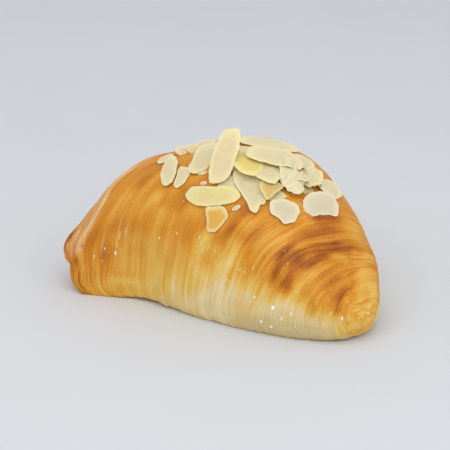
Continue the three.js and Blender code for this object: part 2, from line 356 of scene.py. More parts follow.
@dataclass(frozen=True)
class BlanchedAlmond(Finish):
    """Blanched almond, cut in thin slices and left pale by the oven.

    The cut face is smooth and waxy, with light soaking into it, a paler edge painted as the glow of light
    through the thin rim, and faint veins.
    """

    tone: AlmondTone
    vein: Grain = Grain(2.6)
    fibre: Grain = Grain(0.4)
    fibre_depth_mm: float = 0.06

    @property
    def name(self) -> str:
        """The material's name, which ends with its tone."""
        return f"blanched_almond_{self.tone.name.lower()}"

    def shade(self, tree: bpy.types.NodeTree) -> tuple[Settings, Links]:
        """Adds the patterns: veins from a coarse grain, a paler rim from its attribute, painted as light
        glowing through the thin edge, and fine fibre.

        Args:
            tree: the material's node tree.

        Returns:
            The surface shader's settings and links.
        """
        face, edge, vein = (linear(colour) for colour in self.tone.value)
        rim = add_node(tree, "ShaderNodeAttribute", {"attribute_name": "rim"}).outputs["Fac"]
        place = {"Vector": add_node(tree, "ShaderNodeTexCoord").outputs["Object"]}
        coarse, fine = (
            add_node(tree, "ShaderNodeTexNoise", grain.settings(), place).outputs[0]
            for grain in (self.vein, self.fibre)
        )
        contrast = {"operation": "MULTIPLY_ADD", 1: 1.6, 2: -0.4, "use_clamp": True}
        veins = add_node(tree, "ShaderNodeMath", contrast, {0: coarse})
        mix = {"data_type": "RGBA", 6: face, 7: vein}
        veined = add_node(tree, "ShaderNodeMix", mix, {0: veins.outputs[0]})
        # The paler edge colour over the rim share is a painted glow of light through the thin edge.
        mix = {"data_type": "RGBA", 7: edge}
        rimmed = add_node(tree, "ShaderNodeMix", mix, {0: rim, 6: veined.outputs[2]})
        relief = {"Strength": 0.15, "Distance": self.fibre_depth_mm * MM}
        bump = add_node(tree, "ShaderNodeBump", relief, {"Height": fine})
        settings = {
            "Roughness": 0.55,
            "IOR": 1.42,
            "Subsurface Weight": 1.0,
            "Subsurface Radius": (1.0, 0.95, 0.75),
            "Subsurface Scale": 1.0 * MM,
        }
        return settings, {"Base Color": rimmed.outputs[2], "Normal": bump.outputs[0]}


@dataclass(frozen=True)
class DriedSyrup(Finish):
    """Sugar syrup dried to hard beads that look wet: white low down, partly sugar and partly a painted
    glint, amber on the brown crust.
    """

    name: str = "dried_sugar_syrup"
    # The white is partly a painted glint on the beads low down.
    body: str = "#fdf7ea"
    amber: str = "#e9cf98"

    def shade(self, tree: bpy.types.NodeTree) -> tuple[Settings, Links]:
        """Adds the pattern: white, partly a painted glint, to amber syrup, from the amber attribute, under
        a clear hard skin.

        Args:
            tree: the material's node tree.

        Returns:
            The surface shader's settings and links.
        """
        amber = add_node(tree, "ShaderNodeAttribute", {"attribute_name": "amber"}).outputs["Fac"]
        mix = {"data_type": "RGBA", 6: linear(self.body), 7: linear(self.amber)}
        colour = add_node(tree, "ShaderNodeMix", mix, {0: amber}).outputs[2]
        settings = {"Roughness": 0.16, "IOR": 1.49, "Coat Weight": 0.4, "Coat Roughness": 0.06}
        return settings, {"Base Color": colour}


@dataclass(frozen=True)
class MattePaper(Finish):
    """Matte studio paper: an even pale grey with hardly any gloss."""

    name: str = "matte_studio_paper"
    light: str = "#d6d8db"
    dark: str = "#d1d3d7"
    cloud: Grain = Grain(60.0)

    def shade(self, tree: bpy.types.NodeTree) -> tuple[Settings, Links]:
        """Adds the pattern: two close greys in soft clouds.

        Args:
            tree: the material's node tree.

        Returns:
            The surface shader's settings and links.
        """
        place = {"Vector": add_node(tree, "ShaderNodeTexCoord").outputs["Object"]}
        cloud = add_node(tree, "ShaderNodeTexNoise", self.cloud.settings(), place)
        mix = {"data_type": "RGBA", 6: linear(self.light), 7: linear(self.dark)}
        clouds = add_node(tree, "ShaderNodeMix", mix, {0: cloud.outputs[0]})
        return {"Roughness": 0.9}, {"Base Color": clouds.outputs[2]}


@dataclass(frozen=True)
class Zone:
    """A stretch that fades in from start to full and out from fall to end."""

    start: float
    full: float
    fall: float
    end: float

    def share(self, place: Array) -> Array:
        """Share at each place, from 0 outside the stretch to 1 inside it."""
        return smooth_step(self.start, self.full, place) * (1 - smooth_step(self.fall, self.end, place))


@dataclass(frozen=True)
class Ridge:
    """A bell-shaped ridge or groove: its height, middle and half width."""

    height: float
    middle: float
    half: float

    def at(self, place: Array) -> Array:
        """Height at each place."""
        return self.height * bell(place - self.middle, self.half)


@dataclass(frozen=True)
class Ripple:
    """Smooth noise over the crust: cells to a unit across and degrees to a cell around.

    Draw picks its random values, and strength is the most that it gives.
    """

    cells: float
    degrees: float
    draw: int
    strength: float = 1.0


@dataclass(frozen=True)
class Streak:
    """A soft patch that follows the leaves: middle and half width along lam, middle and half length in v.

    Lean is how far its middle line moves along lam for each degree of v.
    """

    lam: float
    half_lam: float
    v: float
    half_v: float
    strength: float
    lean: float = 0.0

    @classmethod
    def rows(cls, *rows: tuple[float, ...]) -> tuple["Streak", ...]:
        """Makes one streak of each row of numbers."""
        return tuple(cls(*row) for row in rows)


@dataclass(frozen=True)
class ShellForm:
    """The smooth shell: rings lofted from nose to mouth, with six values to steer each curve.

    The chin is the part below the side line, toward the mouth. It grows squarer, flares and tucks in with
    powers of s, so that the nose stays round.
    """

    side_x: tuple[float, ...] = (60.8, 60.8, 28.8, -19.3, -41.3, -44.2)
    half_width: tuple[float, ...] = (0.0, 16.5, 40.2, 32.65, 56.95, 54.0)
    side_height: tuple[float, ...] = (9.3, 9.3, 10.4, 10.4, 10.4, 11.0)
    crown_x: tuple[float, ...] = (60.8, 60.8, 38.9, -0.45, -56.7, -60.8)
    crown_height: tuple[float, ...] = (9.3, 13.25, 49.85, 83.1, 51.2, 13.0)
    keel_height: tuple[float, ...] = (9.3, -7.8, -7.8, -7.8, -7.8, -7.8)
    ring_squareness: float = 2.54
    mouth_squareness: float = 1.3
    chin_flare: float = 0.02
    chin_tuck: float = 7.6
    chin_lift: float = 0.62
    chin_round: float = 3.36
    deepest_turn: float = 88.0

    def blend(self, controls: Sequence[float], s: Array) -> Array:
        """Blends control values with the Bernstein weights of their degree.

        Args:
            controls: values from nose to mouth.
            s: place from nose to mouth.

        Returns:
            The smooth value at each place.
        """
        degree = len(controls) - 1
        terms = (c * math.comb(degree, k) * s**k * (1 - s) ** (degree - k) for k, c in enumerate(controls))
        return sum(terms)

    def place(self, s: Array, v: Array) -> Array:
        """Points of the smooth shell: superellipse rings about the side line, leaning toward the mouth.

        Args:
            s: place from nose to mouth.
            v: place around the ring.

        Returns:
            Points, before the cut at the floor.
        """
        turn = np.radians(v)
        side, rise, upper = np.abs(np.cos(turn)), np.abs(np.sin(turn)), np.sin(turn) >= 0
        power = self.ring_squareness + np.where(upper, 0.0, self.mouth_squareness * s**3)
        reach = (side**power + rise**power) ** (-1 / power)
        lift = rise * reach
        side_x, middle = self.blend(self.side_x, s), self.blend(self.side_height, s)
        far = np.where(upper, self.blend(self.crown_height, s), self.blend(self.keel_height, s))
        flare = np.where(upper, 1.0, 1 + self.chin_flare * s**6 * lift)
        lean = (self.blend(self.crown_x, s) - side_x) * lift
        tuck = self.chin_tuck * s**3 * np.minimum(lift / self.chin_lift, 1.0) ** self.chin_round
        shift = np.where(upper, lean, tuck)
        y = self.blend(self.half_width, s) * np.cos(turn) * reach * flare
        return np.stack([side_x + shift, y, middle + (far - middle) * lift], -1)

    def floor_turn(self, s: Array) -> Array:
        """How far past the side each ring reaches the floor, or nearly a quarter turn.

        Args:
            s: place from nose to mouth.

        Returns:
            The turn at which the ring's height is zero.
        """
        side, keel = self.blend(self.side_height, s), self.blend(self.keel_height, s)
        lift = np.clip(side / np.maximum(side - keel, 1e-6), 0.0, 0.999)
        power = self.ring_squareness + self.mouth_squareness * s**3
        turn = np.degrees(np.arctan((lift**-power - 1) ** (-1 / power)))
        return np.minimum(turn, self.deepest_turn)


@dataclass
class LeafLayers:
    """The wound leaves laid on the shell: a grid with rows along the leaves and columns around each ring.

    The leaf profile gives the share across a leaf, its height there and the depth of its shading. Drift
    gives, at each lam, how far the leaves wind ahead of the rings. Fold gives, at each v, the lam of the
    fold behind the upper rim. Spans named from or until are where an effect fades in or out.
    """

    form: ShellForm
    columns: int = 104
    seed: int = 41
    noise_start: int = 40
    flatness: int = 4
    least_upward: float = 0.1
    leaf_pitch: Span = (0.60, 1.30)
    pitch_turn: float = 150.0
    nose_margin: float = 0.8
    mouth_margin: float = 0.3
    most_leaves: int = 400
    path_steps: int = 4001
    leaf_step: Span = (0.06, 0.24)
    leaf_profile: tuple[tuple[float, float, float], ...] = (
        (0.0, 0.0, 1.0), (0.08, 0.75, 0.4), (0.18, 1.0, -0.3),
        (0.42, 0.7, -0.2), (0.68, 0.4, 0.0), (0.9, 0.12, 0.6),
    )
    groove_depth: Span = (0.2, 1.0)
    band_leaves: tuple[int, int] = (3, 7)
    band_step: Span = (0.15, 0.65)
    band_rise: float = 0.12

    drift: tuple[Point, ...] = (
        (0.0, 0.0), (0.1, -0.01), (0.16, -0.025), (0.22, 0.0), (0.3, 0.03),
        (0.45, 0.01), (0.6, 0.025), (0.74, 0.09), (0.84, 0.09), (1.0, 0.0),
    )
    drift_turn: float = 120.0
    winding: float = 0.007
    wander: Ripple = Ripple(22, 24, 2, 0.0045)
    nose_fade: float = 9.0
    mouth_fade: float = 12.0
    nose_opening: Span = (0.03, 0.22)
    leaf_gape: Ripple = Ripple(1, 18, 3, 0.45)
    leaf_gape_mean: float = 0.55
    band_gape: Ripple = Ripple(1, 34, 4, 0.4)
    band_gape_mean: float = 0.6
    band_gape_nose: float = 0.15
    lumps: Ripple = Ripple(11, 22, 5, 0.45)
    dents: Ripple = Ripple(60, 14, 6, 0.16)

    calm: Zone = Zone(0.34, 0.46, 0.70, 0.80)
    calm_smoothing: float = 0.4
    calm_fading: float = 0.7
    low_side: Span = (158.0, 178.0)
    low_keenness: float = 1.5
    low_smoothing: float = 0.7
    low_smooth_from: Span = (0.40, 0.52)
    low_fading: float = 0.35
    low_fade_from: Span = (0.48, 0.56)
    heel_lines: float = 1.6
    heel_from: Span = (0.72, 0.80)
    nose_lines: float = 0.6
    nose_until: Span = (0.08, 0.16)
    leaf_tone: Ripple = Ripple(1, 24, 9, 0.09)
    # Painted shade: darker in the grooves between leaves, a little paler across the leaf faces.
    groove_shade: float = 0.08
    blotches: Ripple = Ripple(48, 7, 14, 0.12)
    blotches_from: Span = (95.0, 135.0)
    patch_waver: Ripple = Ripple(30, 9, 15, 0.45)
    patch_breaks: Ripple = Ripple(70, 12, 16, 0.3)

    swells: tuple[Streak, ...] = Streak.rows(
        (0.800, 0.070, 122, 16, 1.75), (0.885, 0.050, 138, 14, -0.80),
        (0.660, 0.100, 190, 34, -3.20), (0.940, 0.050, 155, 10, 1.50),
    )
    cracks: tuple[Streak, ...] = Streak.rows(
        (0.150, 0.0040, 122, 30, 0.17, -0.0003), (0.178, 0.0014, 190, 20, 0.26),
        (0.300, 0.0026, 112, 30, 0.20), (0.395, 0.0022, 146, 20, 0.12),
        (0.800, 0.0030, 196, 15, 0.30), (0.835, 0.0030, 195, 15, 0.45),
        (0.862, 0.0032, 194, 15, 0.50), (0.884, 0.0030, 194, 15, 0.40),
        (0.908, 0.0032, 193, 15, 0.50), (0.935, 0.0030, 193, 15, 0.40),
    )
    fold: tuple[Point, ...] = (
        (90, 0.745), (125, 0.765), (137, 0.782), (149, 0.793), (155, 0.806),
        (161, 0.822), (169, 0.847), (173, 0.876), (178, 0.92),
    )
    fold_side: Zone = Zone(95.0, 115.0, 174.0, 180.0)
    fold_ridge: Ridge = Ridge(0.55, 0.018, 0.012)
    fold_groove: Ridge = Ridge(0.45, 0.0, 0.006)
    corner_groove: Ridge = Ridge(0.6, 178.5, 2.8)
    corner_from: Span = (0.79, 0.93)

    points: Array = field(init=False)
    normals: Array = field(init=False)
    lam: Array = field(init=False)
    v: Array = field(init=False)
    near: Array = field(init=False)
    crack: Array = field(init=False)
    relief: Array = field(init=False)
    tones: Array = field(init=False)
    past_fold: Array = field(init=False)

    def noise(self, ripple: Ripple, across: Array | None = None) -> Array:
        """Noise of a ripple at every grid point.

        Args:
            ripple: its scale, draw and strength.
            across: coordinate to count its cells on, in place of lam.

        Returns:
            The noise, up to the ripple's strength.
        """
        counted = (self.lam if across is None else across) * ripple.cells
        around = self.v / ripple.degrees + self.noise_start
        return ripple.strength * lattice_noise(counted, around, self.seed + ripple.draw)

    def soft_patch(self, patch: Streak) -> Array:
        """Strength of a patch: a wavering bell along lam times a flatter one in v, broken up by noise.

        Args:
            patch: its place, size and strength.

        Returns:
            The strength at every grid point.
        """
        waver = patch.half_lam * self.noise(self.patch_waver)
        middle = patch.lam + patch.lean * (self.v - patch.v)
        across = bell(self.lam + waver - middle, patch.half_lam)
        around = bell(self.v - patch.v, patch.half_v, self.flatness)
        return patch.strength * across * (1.0 + self.noise(self.patch_breaks)) * around

    def leaf_edges(self) -> Array:
        """Places of the leaf edges: seeded pitches laid off along the flank.

        Returns:
            Increasing places from nose to mouth.
        """
        s = np.linspace(0.0, 1.0, self.path_steps)
        path = self.form.place(s, np.full_like(s, self.pitch_turn))
        length = np.concatenate([[0.0], np.cumsum(np.linalg.norm(np.diff(path, axis=0), axis=1))])
        draws = np.random.default_rng(self.seed).uniform(*self.leaf_pitch, self.most_leaves)
        marks = self.nose_margin + np.cumsum(draws)
        return np.interp(marks[marks < length[-1] - self.mouth_margin], length, s)

    def leaf_relief(self, edges: Array) -> tuple[Array, Array]:
        """Rows of the grid and their height: each leaf steps out, then slopes back under the next.

        Args:
            edges: places of the leaf edges.

        Returns:
            The rows' places, and for each row its leaf, band, leaf height, band height and groove.
        """
        rng = np.random.default_rng(self.seed + 1)
        count = len(edges)
        ends = np.append(edges[1:], 1.0)
        shares, heights, grooves = np.array(self.leaf_profile).T
        lam = (edges[:, None] + (ends - edges)[:, None] * shares).ravel()
        leaf = np.repeat(np.arange(count), len(shares))
        fine = (rng.uniform(*self.leaf_step, count)[:, None] * heights).ravel()
        groove = (rng.uniform(*self.groove_depth, count)[:, None] * grooves).ravel()
        starts = np.cumsum(rng.integers(*self.band_leaves, count))
        starts = np.concatenate([[0], starts[starts < count]])
        band = np.searchsorted(starts, np.arange(count), side="right") - 1
        band_start = edges[starts][band][leaf]
        band_end = np.append(edges[starts][1:], 1.0)[band][leaf]
        share = (lam - band_start) / (band_end - band_start)
        rise = np.clip(share / self.band_rise, 0.0, 1.0) * (1.0 - share)
        coarse = rng.uniform(*self.band_step, len(starts))[band][leaf] * rise
        return lam, np.stack([leaf, band[leaf], fine, coarse, groove], -1)

    def broad_swell(self, s: Array) -> Array:
        """Height of the broad swells, the same on both sides: a bell along s and a flat-topped bell in v.

        Args:
            s: place from nose to mouth at every grid point.

        Returns:
            Height along the normal.
        """
        bells = (
            swell.strength
            * bell(s - swell.lam, swell.half_lam)
            * bell(self.near - swell.v, swell.half_v, self.flatness)
            for swell in self.swells
        )
        return sum(bells)

    def fold_relief(self, s: Array, past: Array) -> Array:
        """Height of the fold behind the upper rim: a groove, a ridge past it and one groove at the corner.

        Args:
            s: place from nose to mouth at every grid point.
            past: how far past the fold each point is.

        Returns:
            Height along the normal.
        """
        fold = self.fold_ridge.at(past) - self.fold_groove.at(past)
        corner = self.corner_groove.at(self.near) * smooth_step(*self.corner_from, s)
        return fold * self.fold_side.share(self.near) - corner

    def open_leaves(self, table: Array, open_nose: Array) -> None:
        """Works out the leaves' relief and tones, with painted shade in the grooves: calm in the middle,
        keen low down, lined at both ends.

        Args:
            table: leaf, band, leaf height, band height and groove of each row.
            open_nose: how far the leaves have opened from the tight nose.
        """
        leaf, band, fine, coarse, groove = (column[:, None] for column in table.T)
        open_fine = self.leaf_gape_mean + open_nose * self.noise(self.leaf_gape, leaf)
        open_coarse = self.band_gape_nose + (1 - self.band_gape_nose) * open_nose
        open_coarse = open_coarse * (self.band_gape_mean + self.noise(self.band_gape, band))
        low = smooth_step(*self.low_side, self.near)
        calm = self.calm.share(self.lam) * (1 - low)
        low_keen = self.low_keenness - self.low_smoothing * smooth_step(*self.low_smooth_from, self.lam)
        keen = 1.0 - self.calm_smoothing * calm + low * low_keen
        self.relief = fine * open_fine * keen + coarse * open_coarse
        lined = 1.0 - self.calm_fading * calm
        lined -= self.low_fading * low * smooth_step(*self.low_fade_from, self.lam)
        lined += self.heel_lines * low * smooth_step(*self.heel_from, self.lam)
        lined += self.nose_lines * (1 - smooth_step(*self.nose_until, self.lam))
        # Painted shade: the groove share darkens the tone in the hollows between leaves.
        self.tones = lined * (self.noise(self.leaf_tone, leaf) + self.groove_shade * groove * open_fine)
        self.tones += calm * smooth_step(*self.blotches_from, self.near) * self.noise(self.blotches)

    def lay(self) -> None:
        """Works out the grid and lifts it along its normals by leaves, lumps, cracks, swells and fold."""
        lam, table = self.leaf_relief(self.leaf_edges())
        turn = self.form.floor_turn(lam)[:, None]
        share = np.linspace(0.0, 1.0, self.columns)[None, :]
        self.v = -turn + (180.0 + 2 * turn) * share
        self.near = 90.0 + np.abs(self.v - 90.0)
        self.lam = np.broadcast_to(lam[:, None], self.v.shape)
        from_nose = np.minimum(1.0, self.lam * self.nose_fade)
        fade = from_nose * np.minimum(1.0, (1 - self.lam) * self.mouth_fade)
        shift = np.interp(self.lam, *zip(*self.drift)) * np.sin(np.radians(self.v - self.drift_turn))
        shift += self.noise(self.wander) + self.winding * (self.v - 90.0) / 360.0
        s = np.clip(self.lam + shift * fade, 0.0, 1.0)
        base = self.form.place(s, self.v)
        self.normals = unit(np.cross(np.gradient(base, axis=0), np.gradient(base, axis=1)))
        open_nose = smooth_step(*self.nose_opening, self.lam)
        self.open_leaves(table, open_nose)
        self.crack = sum(self.soft_patch(patch) for patch in self.cracks)
        self.relief = self.relief - self.crack
        uneven = open_nose * (self.noise(self.lumps) + self.noise(self.dents))
        past = s - np.interp(self.near, *zip(*self.fold))
        self.past_fold = np.where(self.near < 180.0, past, -1.0)
        height = self.relief + uneven + self.broad_swell(s) + self.fold_relief(s, past)
        self.points = base + self.normals * (height * fade)[..., None]
        self.points[..., 2] = np.maximum(self.points[..., 2], 0.0)

    def foot(self, x: float, y: float) -> tuple[Array, Array]:
        """The topmost grid point near a place in plan: the nearest whose normal points up.

        Args:
            x: place along the pastry.
            y: place across it.

        Returns:
            The point and its outward normal.
        """
        away = (self.points[..., 0] - x) ** 2 + (self.points[..., 1] - y) ** 2
        away = np.where(self.normals[..., 2] > self.least_upward, away, np.inf)
        at = np.unravel_index(np.argmin(away), away.shape)
        return self.points[at], self.normals[at]

    def spot(self, lam: float, v: float) -> tuple[Array, Array, Array]:
        """The grid point at a place on the leaves.

        Args:
            lam: place along the leaves.
            v: place around the ring.

        Returns:
            The point, its outward normal and the direction along the leaf.
        """
        row = int(np.argmin(np.abs(self.lam[:, 0] - lam)))
        column = int(np.clip(np.argmin(np.abs(self.v[row] - v)), 1, self.columns - 2))
        along = unit(self.points[row, column + 1] - self.points[row, column - 1])
        return self.points[row, column], self.normals[row, column], along


@dataclass
class Browning:
    """What the oven, flour and syrup did to the crust, as shares at every grid point, with painted light
    and shade in the browning and painted highlights in the flour share.

    A station gives lam and how brown the crown, the flank and the low side are there, from 0 cream to 1
    deep brown. A feather gives lam, the v where the flank begins to pale and the v where it is as pale as
    the low side.
    """

    leaves: LeafLayers
    stations: tuple[tuple[float, float, float, float], ...] = (
        (0.00, 0.26, 0.26, 0.24), (0.06, 0.30, 0.34, 0.33), (0.10, 0.31, 0.41, 0.22),
        (0.13, 0.31, 0.48, 0.12), (0.17, 0.30, 0.47, 0.14), (0.21, 0.37, 0.50, 0.07),
        (0.26, 0.43, 0.48, 0.00), (0.33, 0.43, 0.53, 0.12), (0.40, 0.53, 0.45, 0.00),
        (0.455, 0.53, 0.46, 0.02), (0.475, 0.52, 0.40, 0.10), (0.53, 0.52, 0.53, 0.09),
        (0.555, 0.52, 0.55, 0.18), (0.61, 0.50, 0.47, 0.22), (0.68, 0.50, 0.53, 0.34),
        (0.76, 0.50, 0.62, 0.43), (0.84, 0.50, 0.62, 0.34), (1.00, 0.56, 0.58, 0.36),
    )
    feather: tuple[tuple[float, float, float], ...] = (
        (0.00, 140, 172), (0.10, 150, 186), (0.14, 152, 190), (0.17, 144, 180), (0.19, 152, 190),
        (0.22, 149, 178), (0.25, 149, 172), (0.34, 153, 173), (0.40, 145, 178), (0.45, 151, 184),
        (0.47, 146, 188), (0.51, 144, 190), (0.56, 149, 196), (0.66, 148, 196), (1.00, 156, 204),
    )
    browned: tuple[Streak, ...] = Streak.rows(
        (0.153, 0.018, 122, 30, 0.20, -0.0003), (0.200, 0.012, 105, 28, 0.15),
        (0.140, 0.010, 170, 9, 0.06), (0.192, 0.010, 170, 10, 0.06),
        (0.284, 0.024, 94, 34, 0.33, -0.0001), (0.277, 0.014, 139, 20, 0.26, -0.0006),
        (0.260, 0.012, 118, 16, 0.25), (0.332, 0.015, 97, 23, 0.28),
        (0.358, 0.012, 85, 13, 0.42), (0.313, 0.013, 136, 17, 0.35, -0.0009),
        (0.316, 0.011, 134, 8, 0.14, -0.0009), (0.240, 0.008, 118, 34, -0.06),
        (0.345, 0.012, 124, 14, -0.08), (0.246, 0.010, 148, 8, -0.12),
        (0.708, 0.018, 185, 10, 0.10), (0.372, 0.012, 148, 7, 0.12),
        (0.395, 0.012, 135, 10, 0.16), (0.408, 0.014, 151, 9, -0.19),
        (0.440, 0.016, 133, 14, 0.30), (0.489, 0.017, 156, 10, -0.30),
        (0.562, 0.012, 181, 6, 0.10), (0.664, 0.016, 172, 7, -0.11),
        (0.683, 0.030, 136, 8, 0.08), (0.800, 0.020, 148, 7, 0.14),
        (0.935, 0.020, 108, 9, 0.12), (0.715, 0.016, 165, 9, 0.06),
        (0.866, 0.015, 154.8, 4.2, 1.00, 0.0039), (0.780, 0.004, 164.2, 1.7, 0.90),
    )
    # Painted highlights: short pale streaks along the leaves.
    highlight_streaks: tuple[Streak, ...] = Streak.rows(
        (0.680, 0.0022, 156, 8, 0.34), (0.660, 0.0020, 158, 5, 0.34), (0.710, 0.0022, 164, 6, 0.34)
    )
    fingers: tuple[Ripple, ...] = (Ripple(130, 90, 7, 3.0), Ripple(36, 60, 8, 4.5))
    crown: Ridge = Ridge(1.0, 70.0, 24.0)
    tones: Ripple = Ripple(75, 34, 10, 0.05)
    blotches: Ripple = Ripple(24, 10, 11, 0.07)
    heel_calm: float = 0.7
    heel_from: Span = (0.70, 0.80)
    low_calm: float = 0.3
    low_until: Span = (0.45, 0.55)
    # Painted shade in the crease just before the fold.
    corner: Ridge = Ridge(0.05, -0.02, 0.03)
    corner_from: Span = (148.0, 165.0)
    # Painted light and shade by relief: proud leaves paler, hollows browner.
    relief_light_and_shade: float = 0.10
    mean_relief: float = 0.2

    rim: Zone = Zone(0.0, 0.012, 0.06, 0.12)
    rim_side: Zone = Zone(105.0, 125.0, 166.0, 173.0)
    rim_lines: Ripple = Ripple(1, 7, 12)
    rim_line_cells: Point = (180.0, 300.0)
    rim_line_edges: Span = (-0.5, 0.8)
    rim_dust: Span = (0.25, 0.5)
    # Partly flour, partly a painted highlight along the ridge of the fold.
    crest_dust_and_highlight: Ridge = Ridge(0.35, 0.016, 0.007)
    crest_breaks: float = 0.6
    most_dust: float = 0.8

    soaking: float = 0.78
    soaked: Zone = Zone(0.12, 0.20, 0.33, 0.42)
    soaked_side: Span = (174.0, 198.0)
    soak_patches: Ripple = Ripple(28, 9, 17, 9.0)
    glaze_patches: Ripple = Ripple(40, 20, 13, 0.9)
    mean_glaze: float = 0.5
    wet_glaze: float = 1.2

    def bake(self) -> Array:
        """Browning: crown, flank and low levels along the leaves, streaks and leaf tones, with painted
        shade in the cracks and the fold corner and painted light on the proud leaves.

        Returns:
            The browning at every grid point, from 0 to 1.
        """
        leaves, lam = self.leaves, self.leaves.lam
        at, *levels = zip(*self.stations)
        crown, flank, low = (np.interp(lam, at, level) for level in levels)
        finger = sum(leaves.noise(ripple) for ripple in self.fingers)
        mark, first, last = zip(*self.feather)
        pale, palest = np.interp(lam, mark, first), np.interp(lam, mark, last)
        low_share = smooth_step(pale, palest, leaves.near + finger)
        level = flank + (crown - flank) * self.crown.at(leaves.v)
        level = level + (low - level) * low_share
        blotched = 1.0 - self.heel_calm * smooth_step(*self.heel_from, lam)
        tone = leaves.tones + leaves.noise(self.tones) + blotched * leaves.noise(self.blotches)
        tone *= 1.0 - self.low_calm * low_share * (1.0 - smooth_step(*self.low_until, lam))
        streaks = sum(leaves.soft_patch(patch) for patch in self.browned)
        # Painted shade: browner in the crease just before the fold on the near side.
        corner = self.corner.at(leaves.past_fold) * smooth_step(*self.corner_from, leaves.near)
        # Painted light and shade: proud leaves paler, sunken ones browner.
        proud = self.relief_light_and_shade * (leaves.relief - self.mean_relief)
        # Painted shade: the cracks are browned darker, on top of their groove.
        return np.clip(level + tone + streaks + leaves.crack + corner - proud, 0.0, 1.0)

    def dust_and_highlight(self) -> Array:
        """Pale flour and painted highlights: flour on the rim past the fold, a painted highlight on its
        ridge and the painted highlight streaks, broken up by fine lines.

        Returns:
            The dusty share at every grid point.
        """
        leaves, past = self.leaves, self.leaves.past_fold
        cells, start = self.rim_line_cells
        lines = leaves.noise(self.rim_lines, past * cells + start)
        least, spread = self.rim_dust
        rim = self.rim.share(past) * (least + spread * smooth_step(*self.rim_line_edges, lines))
        rim = rim + self.crest_dust_and_highlight.at(past) * (1.0 + self.crest_breaks * lines)
        streaks = sum(leaves.soft_patch(patch) for patch in self.highlight_streaks)
        return np.clip(rim * self.rim_side.share(leaves.v) + streaks, 0.0, self.most_dust)

    def soak(self) -> Array:
        """Wet share: patches low on the pale side, where syrup soaked into the dough."""
        patches = self.leaves.near + self.leaves.noise(self.soak_patches)
        return self.soaking * self.soaked.share(self.leaves.lam) * smooth_step(*self.soaked_side, patches)

    def glaze(self) -> Array:
        """Syrup share, in patches along the leaves and where it soaked in."""
        patches = np.clip(self.mean_glaze + self.leaves.noise(self.glaze_patches), 0.0, 1.0)
        return patches + self.wet_glaze * self.soak()

    def shades(self) -> dict[str, Array]:
        """Every share under the name that the dough's finish reads it by."""
        return {"bake": self.bake(), "dust_and_highlight": self.dust_and_highlight(), "soak": self.soak(), "glaze": self.glaze()}


@dataclass
class WoundCrust:
    """The crust: the laid leaves, closed across the floor and at the nose and mouth, and browned."""

    leaves: LeafLayers
    floor_columns: int = 3
    mouth_heart: tuple[float, float, float] = (-33.0, 0.0, 6.0)

    def with_floor(self, values: Array) -> Array:
        """Adds to each row the places across the floor, evenly from its last column back to its first.

        Args:
            values: one or more numbers at each grid point.

        Returns:
            The same with the floor columns appended.
        """
        share = np.linspace(0.0, 1.0, self.floor_columns + 2)[1:-1]
        share = share.reshape((1, -1) + (1,) * (values.ndim - 2))
        across = values[:, -1:] * (1 - share) + values[:, :1] * share
        return np.concatenate([values, across], axis=1)

    def build(self, finish: bpy.types.Material) -> bpy.types.Object:
        """Makes the crust, which stands for the CAD pastry.

        Args:
            finish: the dough's material.

        Returns:
            The crust piece.
        """
        nose = self.leaves.form.place(np.zeros(1), np.zeros(1))[0]
        points, faces = closed_skin(self.with_floor(self.leaves.points), nose, np.array(self.mouth_heart))
        shades = {}
        for name, values in Browning(self.leaves).shades().items():
            ends = [values[0].mean(), values[-1].mean()]
            shades[name] = np.concatenate([self.with_floor(values).ravel(), ends])
        piece = add_piece("wound_crust", points, faces, finish, shades)
        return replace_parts(piece, "pastry")


